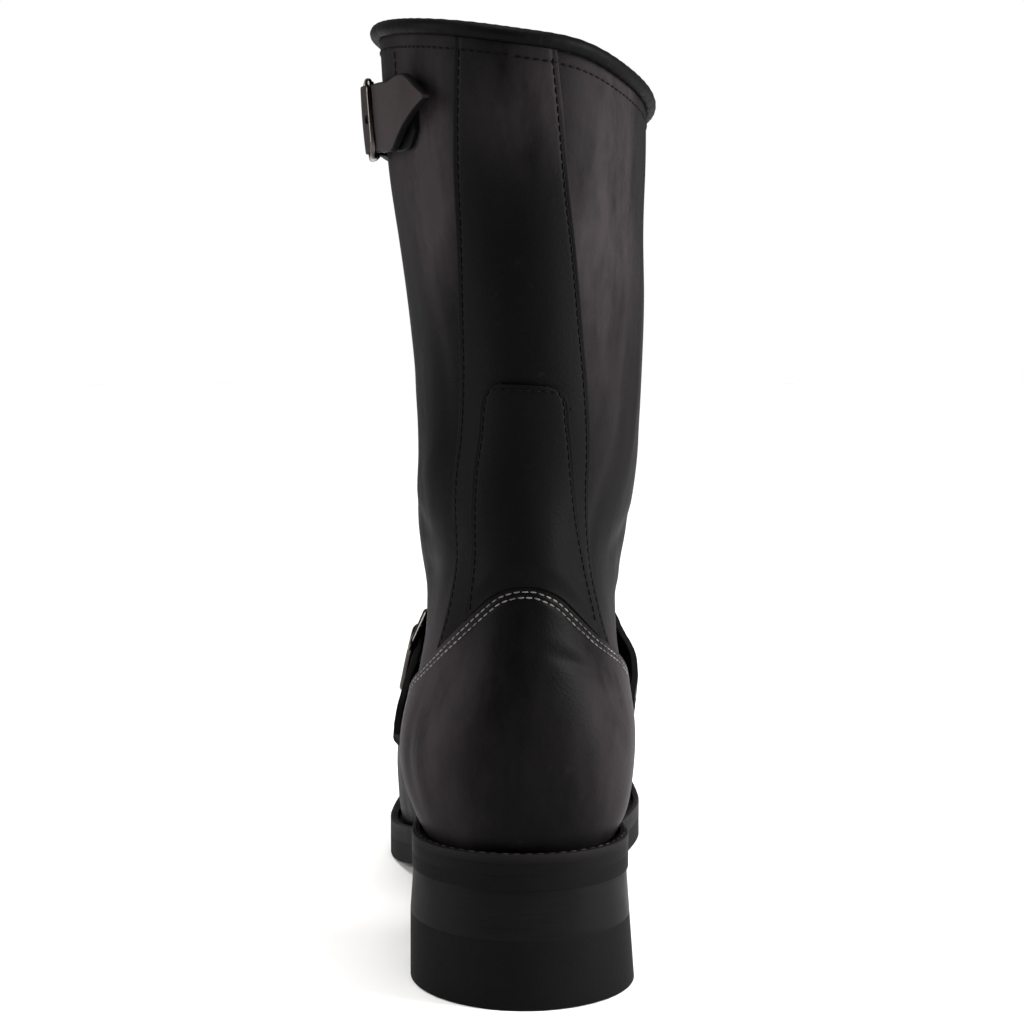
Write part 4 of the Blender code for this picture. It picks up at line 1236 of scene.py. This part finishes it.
class BOOT_OT_buckles(bpy.types.Operator):
    """Make the two plated centre-bar buckles with their prongs"""

    bl_idname = "boot.buckles"
    bl_label = "Buckles"

    CORNER_STEPS, SIDES, SIDE_STEPS = 8, 14, 6
    SEARCH, TRIES = 0.05, 201
    NOTCH, PRONG_STEPS, POINT_FROM, POINT = 0.6, 40, 0.9, 0.05

    def frame_path(self, place, rail, ends):
        """Points round the buckle's frame with round corners."""
        corners = []
        for sign_a, sign_b in ((1, -1), (1, 1), (-1, 1), (-1, -1)):
            for step in range(self.CORNER_STEPS + 1):
                swing = math.radians(90.0 * step / self.CORNER_STEPS)
                if sign_a * sign_b < 0:
                    swing = math.radians(90.0) - swing
                a = sign_a * (BUCKLE_REACH - BUCKLE_CORNER * (1.0 - math.cos(swing)))
                b = sign_b * (rail - BUCKLE_CORNER * (1.0 - math.sin(swing)))
                corners.append(place(a, b, lerp(ends[-1], ends[1], (a / BUCKLE_REACH + 1.0) / 2.0)))
        return np.array(corners)

    def buckle(self, prefix, holds, row_at, at):
        origin, along, across, off = (found[0] for found in route(holds, row_at, at))
        tried = np.linspace(at - self.SEARCH, at + self.SEARCH, self.TRIES)
        points, _, _, normals = route(holds, row_at, tried)

        def place(a, b, c):
            return origin + along * a + across * b + off * c

        def strap_height(reach):
            best = np.argmin(np.abs(dot(points - origin, along) - reach))
            return dot(points[best] + normals[best] * STRAP - origin, off)

        rail = STRAP_WIDTH / 2.0 + BUCKLE_SIDE_PLAY + BUCKLE_WIRE
        ends = {sign: strap_height(sign * BUCKLE_REACH) + BUCKLE_PLAY + BUCKLE_FLAT for sign in (-1, 1)}
        bm = bmesh.new()
        path = self.frame_path(place, rail, ends)
        facing = np.broadcast_to(off, path.shape)
        tube(bm, path, facing, (BUCKLE_FLAT, BUCKLE_WIRE), self.SIDES, True)
        rail_height = (ends[-1] + ends[1]) / 2.0
        low = -BUCKLE_PLAY - BUCKLE_BAR
        bar = [(rail, rail_height), (rail, low), (-rail, low), (-rail, rail_height)]
        bar = [place(0, side, height) for side, height in bar]
        path = np.concatenate([np.linspace(a, b, self.SIDE_STEPS) for a, b in zip(bar, bar[1:])])
        keep = np.r_[True, np.linalg.norm(np.diff(path, axis=0), axis=1) > WELD]
        path = path[keep]
        facing = np.broadcast_to(along, path.shape)
        tube(bm, path, facing, (BUCKLE_BAR, BUCKLE_BAR), self.SIDES, False)
        weld(bm)
        close_ends(bm)
        nickel = material("nickel_plate", shade_nickel)
        add_piece(prefix + "_buckle_frame", bm, (nickel,), "buckle_nickel", prefix + "_buckle")
        rest = ends[-1] + BUCKLE_FLAT - PRONG * self.NOTCH
        knots = np.array([
            place(-PRONG, 0, PRONG), place(-HOLE_AT, 0, PRONG_LIFT), place(-PRONG_KNEE, 0, PRONG_LIFT),
            place(-BUCKLE_REACH, 0, rest), place(-BUCKLE_REACH - PRONG_TIP, 0, rest),
        ])
        share = np.linspace(0.0, 1.0, self.PRONG_STEPS)
        Knot = namedtuple("Knot", "x y z")
        path = np.stack(read([Knot(*knot) for knot in knots], share * (len(knots) - 1)), axis=-1)
        past = np.clip((share - self.POINT_FROM) / (1.0 - self.POINT_FROM), 0.0, 1.0)
        radius = PRONG * np.sqrt(np.maximum(1.0 - past**2, self.POINT))
        bm = bmesh.new()
        facing = np.broadcast_to(across, path.shape)
        tube(bm, path, facing, np.stack((radius, radius), axis=-1), self.SIDES, False)
        weld(bm)
        close_ends(bm)
        add_piece(prefix + "_buckle_prong", bm, (nickel,), "buckle_nickel", prefix + "_prong")

    def execute(self, context):
        for fastening in FASTENINGS:
            self.buckle(fastening.name, fastening.holds, fastening.row_at, fastening.buckle_at)
        return {"FINISHED"}


def stitch_shape():
    """Points and faces of one stitch, a small rounded bar."""
    bm = bmesh.new()
    bmesh.ops.create_uvsphere(bm, u_segments=6, v_segments=5, radius=0.5)
    lay = Vector((0, 0, 1)).rotation_difference(Vector((1, 0, 0)))
    bmesh.ops.rotate(bm, verts=bm.verts, matrix=lay.to_matrix())
    points = np.array([vert.co for vert in bm.verts])
    faces = [[vert.index for vert in face.verts] for face in bm.faces]
    bm.free()
    return points, faces


def sew(name, runs, skin, slot):
    """Stitches along runs of points with their normals, joined in one mesh."""
    shape, faces = stitch_shape()
    all_points, all_faces = [], []
    for points, normals, stitch in runs:
        steps = np.linalg.norm(np.diff(points, axis=0), axis=1)
        run = np.concatenate(([0.0], np.cumsum(steps)))
        centres = np.arange(0.5, int(run[-1] / stitch.pitch)) * stitch.pitch

        def at(where, values):
            return np.stack([np.interp(where, run, column) for column in values.T], axis=-1)

        for place, normal, ahead, behind in zip(
            at(centres, points), unit(at(centres, normals)),
            at(centres + stitch.length / 2.0, points), at(centres - stitch.length / 2.0, points),
        ):
            along = ahead - behind
            along = unit(along - dot(along, normal) * normal)
            basis = np.stack((along, np.cross(normal, along), normal))
            scaled = shape * np.array((stitch.length, stitch.width, stitch.width))
            offset = len(all_faces) // len(faces) * len(shape)
            all_points.append(scaled @ basis + place)
            all_faces += [[offset + corner for corner in face] for face in faces]
    mesh = bpy.data.meshes.new(name)
    mesh.from_pydata(np.concatenate(all_points) * MM, [], all_faces)
    for face in mesh.polygons:
        face.use_smooth = True
    add_object(name, mesh, (skin,), slot)


class BOOT_OT_stitches(bpy.types.Operator):
    """Sew the counter, the vamp, the back strip, the patch, the collar and the welt"""

    bl_idname = "boot.stitches"
    bl_label = "Stitches"

    SAMPLES = 700
    SUNK, PATCH_TOP, STRIP_FOOT, PATCH_FOOT = 0.12, 0.09, 6.3, 6.8
    ROLL_MARGIN, STRIP_MARGIN, PATCH_MARGIN = 0.05, 0.1, 0.15
    SHORT_ROW, SHORT_TURNS = 12.53, (0.047, 0.0665)
    STRAP_ROWS, STRAP_SHARE = (2.6, 5.2), 0.82

    def run(self, u, row, lift, stitch):
        return on_leather(u, row, np.full_like(u, lift)), upper_normal(u, row), stitch

    def execute(self, context):
        colours = context.scene.boot_colours
        channel = context.scene.boot_sizes.channel / MM
        sunk = self.SUNK - channel
        top = OVERLAY_REST + OVERLAY + sunk
        runs = []
        seam = SIDE_SEAM + SEAM_GAP
        for edges, low, high in ((COUNTER_EDGE, -SIDE_SEAM, SIDE_SEAM), (VAMP_EDGE, seam, 1.0 - seam)):
            u = np.linspace(low, high, self.SAMPLES)
            for distance in COUNTER_ROWS:
                runs.append(self.run(u, row_inside(edges, u, distance), top, COUNTER_STITCH))
        grey = material("grey_thread", shade_thread, colours.thread)
        sew("counter_stitches", runs, grey, "shaft_leather")

        runs = []
        strip_top = STRIP_GAP + BACK_STRIP + sunk
        for side, sign in (("lateral", 1.0), ("medial", -1.0)):
            row = np.linspace(self.STRIP_FOOT, STRIP_TOP_ROW - self.ROLL_MARGIN, self.SAMPLES)
            edge = getattr(read(BACK_STRIP_EDGES, row, "row"), side)
            row = np.maximum(row, edge_row(COUNTER_EDGE, edge) + self.STRIP_MARGIN)
            u = edge + sign * STRIP_ROW / turn_length(edge, row)
            runs.append(self.run(u, row, strip_top, SHAFT_STITCH))
        runs.append(self.patch_run())
        u = np.linspace(0.0, 1.0, self.SAMPLES)
        on_strip = (u < BACK_STRIP_EDGES[-1].medial) | (u > 1.0 + BACK_STRIP_EDGES[-1].lateral)
        lift = np.where(on_strip, STRIP_GAP + BACK_STRIP, 0.0) + self.SUNK / 2.0
        row = np.full_like(u, TOP_ROW - COLLAR_ROW)
        runs.append((on_leather(u, row, lift), upper_normal(u, row), SHAFT_STITCH))
        u = np.linspace(*self.SHORT_TURNS, self.SAMPLES)
        runs.append(self.run(u, np.full_like(u, self.SHORT_ROW), strip_top + channel, SHAFT_STITCH))
        row = np.linspace(*GUSSET_ROWS, self.SAMPLES)
        runs.append(self.run(np.full_like(row, GUSSET_U), row, self.SUNK / 2.0, SHAFT_STITCH))
        for fastening in FASTENINGS:
            runs += self.strap_runs(fastening.holds, fastening.row_at)
        black = material("black_thread", shade_thread, colours.black_thread)
        sew("shaft_stitches", runs, black, "shaft_leather")

        u = np.linspace(0.0, 1.0, self.SAMPLES * 2)
        ring = Ring(*[np.full_like(u, lerp(a, b, WELT_ROW)) for a, b in zip(WELT_RING, SOLE_RING)])
        x, y, _ = outline(ring, 0.0, u)
        points = np.stack((x, y, seat(y) + WELT + self.SUNK / 2.0), axis=-1)
        run = (points, np.broadcast_to(UP, points.shape), WELT_STITCH)
        dark = material("welt_thread", shade_thread, colours.welt_thread)
        sew("welt_stitches", [run], dark, "sole_leather")
        return {"FINISHED"}

    def strap_runs(self, holds, row_at):
        """Rows of stitches across the end of a strap that is sewn down."""
        share = np.linspace(-self.STRAP_SHARE, self.STRAP_SHARE, self.SAMPLES)
        rise = STRAP + BOOT_OT_straps.CROWN * (1.0 - share**2)
        start = holds[0].u
        ends = route(holds, row_at, (start, start + STEP_U))[0]
        per_turn = np.linalg.norm(ends[1] - ends[0]) / STEP_U
        runs = []
        for distance in self.STRAP_ROWS:
            found = route(holds, row_at, start + distance / per_turn)
            origin, _, across, off = (vectors[0] for vectors in found)
            points = origin + share[:, None] * STRAP_WIDTH / 2.0 * across + rise[:, None] * off
            runs.append((points, np.broadcast_to(off, points.shape), SHAFT_STITCH))
        return runs

    def patch_run(self):
        """Path up one side of the patch, over its top and down the other side."""
        top = PATCH_EDGES[-1].row - self.PATCH_TOP
        row = np.linspace(self.PATCH_FOOT, top, self.SAMPLES)
        sides = read(PATCH_EDGES, row, "row")
        step = PATCH_ROW / turn_length(0.0, row)
        left, right = sides.lateral + step, sides.medial - step
        over = np.linspace(left[-1], right[-1], self.SAMPLES)[1:-1]
        u = np.concatenate((left, over, right[::-1]))
        row = np.concatenate((row, np.full_like(over, top), row[::-1]))
        kept = row > edge_row(COUNTER_EDGE, u) + self.PATCH_MARGIN
        u, row = u[kept], row[kept]
        return on_leather(u, row, patch_lift(u, row) + self.SUNK), upper_normal(u, row), SHAFT_STITCH


class BOOT_OT_stage(bpy.types.Operator):
    """Set the floor, the soft studio light and the camera"""

    bl_idname = "boot.stage"
    bl_label = "Stage"

    FLOOR_RADIUS, FLOOR_SIDES, FLOOR_DROP = 5.0, 96, 0.0003
    CAMERA = (-0.0034, -0.676, 0.227)
    PITCH, LENS, SENSOR = 5.9, 72.0, 36.0
    TARGET = Vector((0.0, 0.03, 0.15))
    BACKDROP, WORLD_BRIGHT, WORLD_DIM = 1.0, 0.5, 0.04
    GLOW_FROM, GLOW_TO = 0.5, 0.95
    CEILING, CEILING_SPREAD = 3.5, 40.0
    Lamp = namedtuple("Lamp", "name place width height watts")
    LAMPS = (
        Lamp("left_softbox", (-1.1, -0.15, 0.5), 0.5, 0.8, 10.5),
        Lamp("right_softbox", (1.1, -0.2, 0.5), 0.5, 0.6, 30.0),
    )

    def floor(self, context):
        bm = bmesh.new()
        bmesh.ops.create_circle(bm, cap_ends=True, segments=self.FLOOR_SIDES, radius=self.FLOOR_RADIUS)
        bmesh.ops.translate(bm, verts=bm.verts, vec=(0.0, 0.0, -self.FLOOR_DROP))
        mesh = bpy.data.meshes.new("floor")
        bm.to_mesh(mesh)
        bm.free()
        made = bpy.data.objects.new("floor", mesh)
        context.scene.collection.objects.link(made)
        mesh.materials.append(material("painted_floor", shade_floor))
        made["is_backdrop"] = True

    def light(self, context):
        for lamp in self.LAMPS:
            light = bpy.data.lights.new(lamp.name, "AREA")
            light.shape, light.size, light.size_y = "RECTANGLE", lamp.width, lamp.height
            light.energy = lamp.watts
            made = bpy.data.objects.new(lamp.name, light)
            made.location = lamp.place
            made.rotation_euler = (self.TARGET - Vector(lamp.place)).to_track_quat("-Z", "Y").to_euler()
            context.scene.collection.objects.link(made)
        sun = bpy.data.lights.new("ceiling", "SUN")
        sun.energy, sun.angle = self.CEILING, math.radians(self.CEILING_SPREAD)
        context.scene.collection.objects.link(bpy.data.objects.new("ceiling", sun))
        world = context.scene.world or bpy.data.worlds.new("studio")
        context.scene.world = world
        world.use_nodes = True
        tree = world.node_tree
        ray = node(tree, "TexCoord").outputs["Generated"]
        ahead = node(tree, "VectorMath", {0: ray, 1: (0.0, 1.0, 0.0)}, operation="DOT_PRODUCT")
        lit = node(tree, "MapRange", {
            "Value": ahead.outputs["Value"], "From Min": self.GLOW_FROM, "From Max": self.GLOW_TO,
            "To Min": self.WORLD_DIM, "To Max": self.WORLD_BRIGHT,
        }, interpolation_type="SMOOTHSTEP")
        seen = node(tree, "LightPath").outputs["Is Camera Ray"]
        level = node(tree, "MapRange", {
            "Value": seen, "To Min": lit.outputs["Result"], "To Max": self.BACKDROP,
        })
        backdrop = tree.nodes["Background"]
        backdrop.inputs["Color"].default_value = (1.0, 1.0, 1.0, 1.0)
        tree.links.new(level.outputs["Result"], backdrop.inputs["Strength"])
        context.scene.view_settings.view_transform = "Standard"

    def execute(self, context):
        self.floor(context)
        self.light(context)
        camera = bpy.data.cameras.new("camera")
        camera.lens, camera.sensor_width = self.LENS, self.SENSOR
        made = bpy.data.objects.new("camera", camera)
        made.location = self.CAMERA
        made.rotation_euler = (math.radians(90.0 - self.PITCH), 0.0, 0.0)
        context.scene.collection.objects.link(made)
        context.scene.camera = made
        return {"FINISHED"}


class BOOT_PT_panel(bpy.types.Panel):
    """Sizes, colours and pieces of the boot"""

    bl_label = "Motorcycle Boot"
    bl_idname = "BOOT_PT_panel"
    bl_space_type = "VIEW_3D"
    bl_region_type = "UI"
    bl_category = "Boot"

    def draw(self, context):
        for group in (context.scene.boot_sizes, context.scene.boot_colours):
            box = self.layout.box()
            for name in group.__annotations__:
                box.prop(group, name)
        for operator in OPERATORS:
            self.layout.operator(operator.bl_idname)


OPERATORS = (
    BOOT_OT_stage, BOOT_OT_shaft, BOOT_OT_overlays, BOOT_OT_collar, BOOT_OT_sole, BOOT_OT_straps,
    BOOT_OT_buckles, BOOT_OT_stitches,
)
CLASSES = (BootSizes, BootColours, *OPERATORS, BOOT_PT_panel)


def register():
    for item in CLASSES:
        bpy.utils.register_class(item)
    bpy.types.Scene.boot_sizes = PointerProperty(type=BootSizes)
    bpy.types.Scene.boot_colours = PointerProperty(type=BootColours)


def unregister():
    del bpy.types.Scene.boot_colours
    del bpy.types.Scene.boot_sizes
    for item in reversed(CLASSES):
        bpy.utils.unregister_class(item)


def main():
    register()
    for operator in OPERATORS:
        group, name = operator.bl_idname.split(".")
        getattr(getattr(bpy.ops, group), name)()
    boxes = {"cad": CAD_BOX, "visual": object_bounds()}
    {key: [list(corner) for corner in box] for key, box in boxes.items()}


if __name__ == "__main__":
    main()
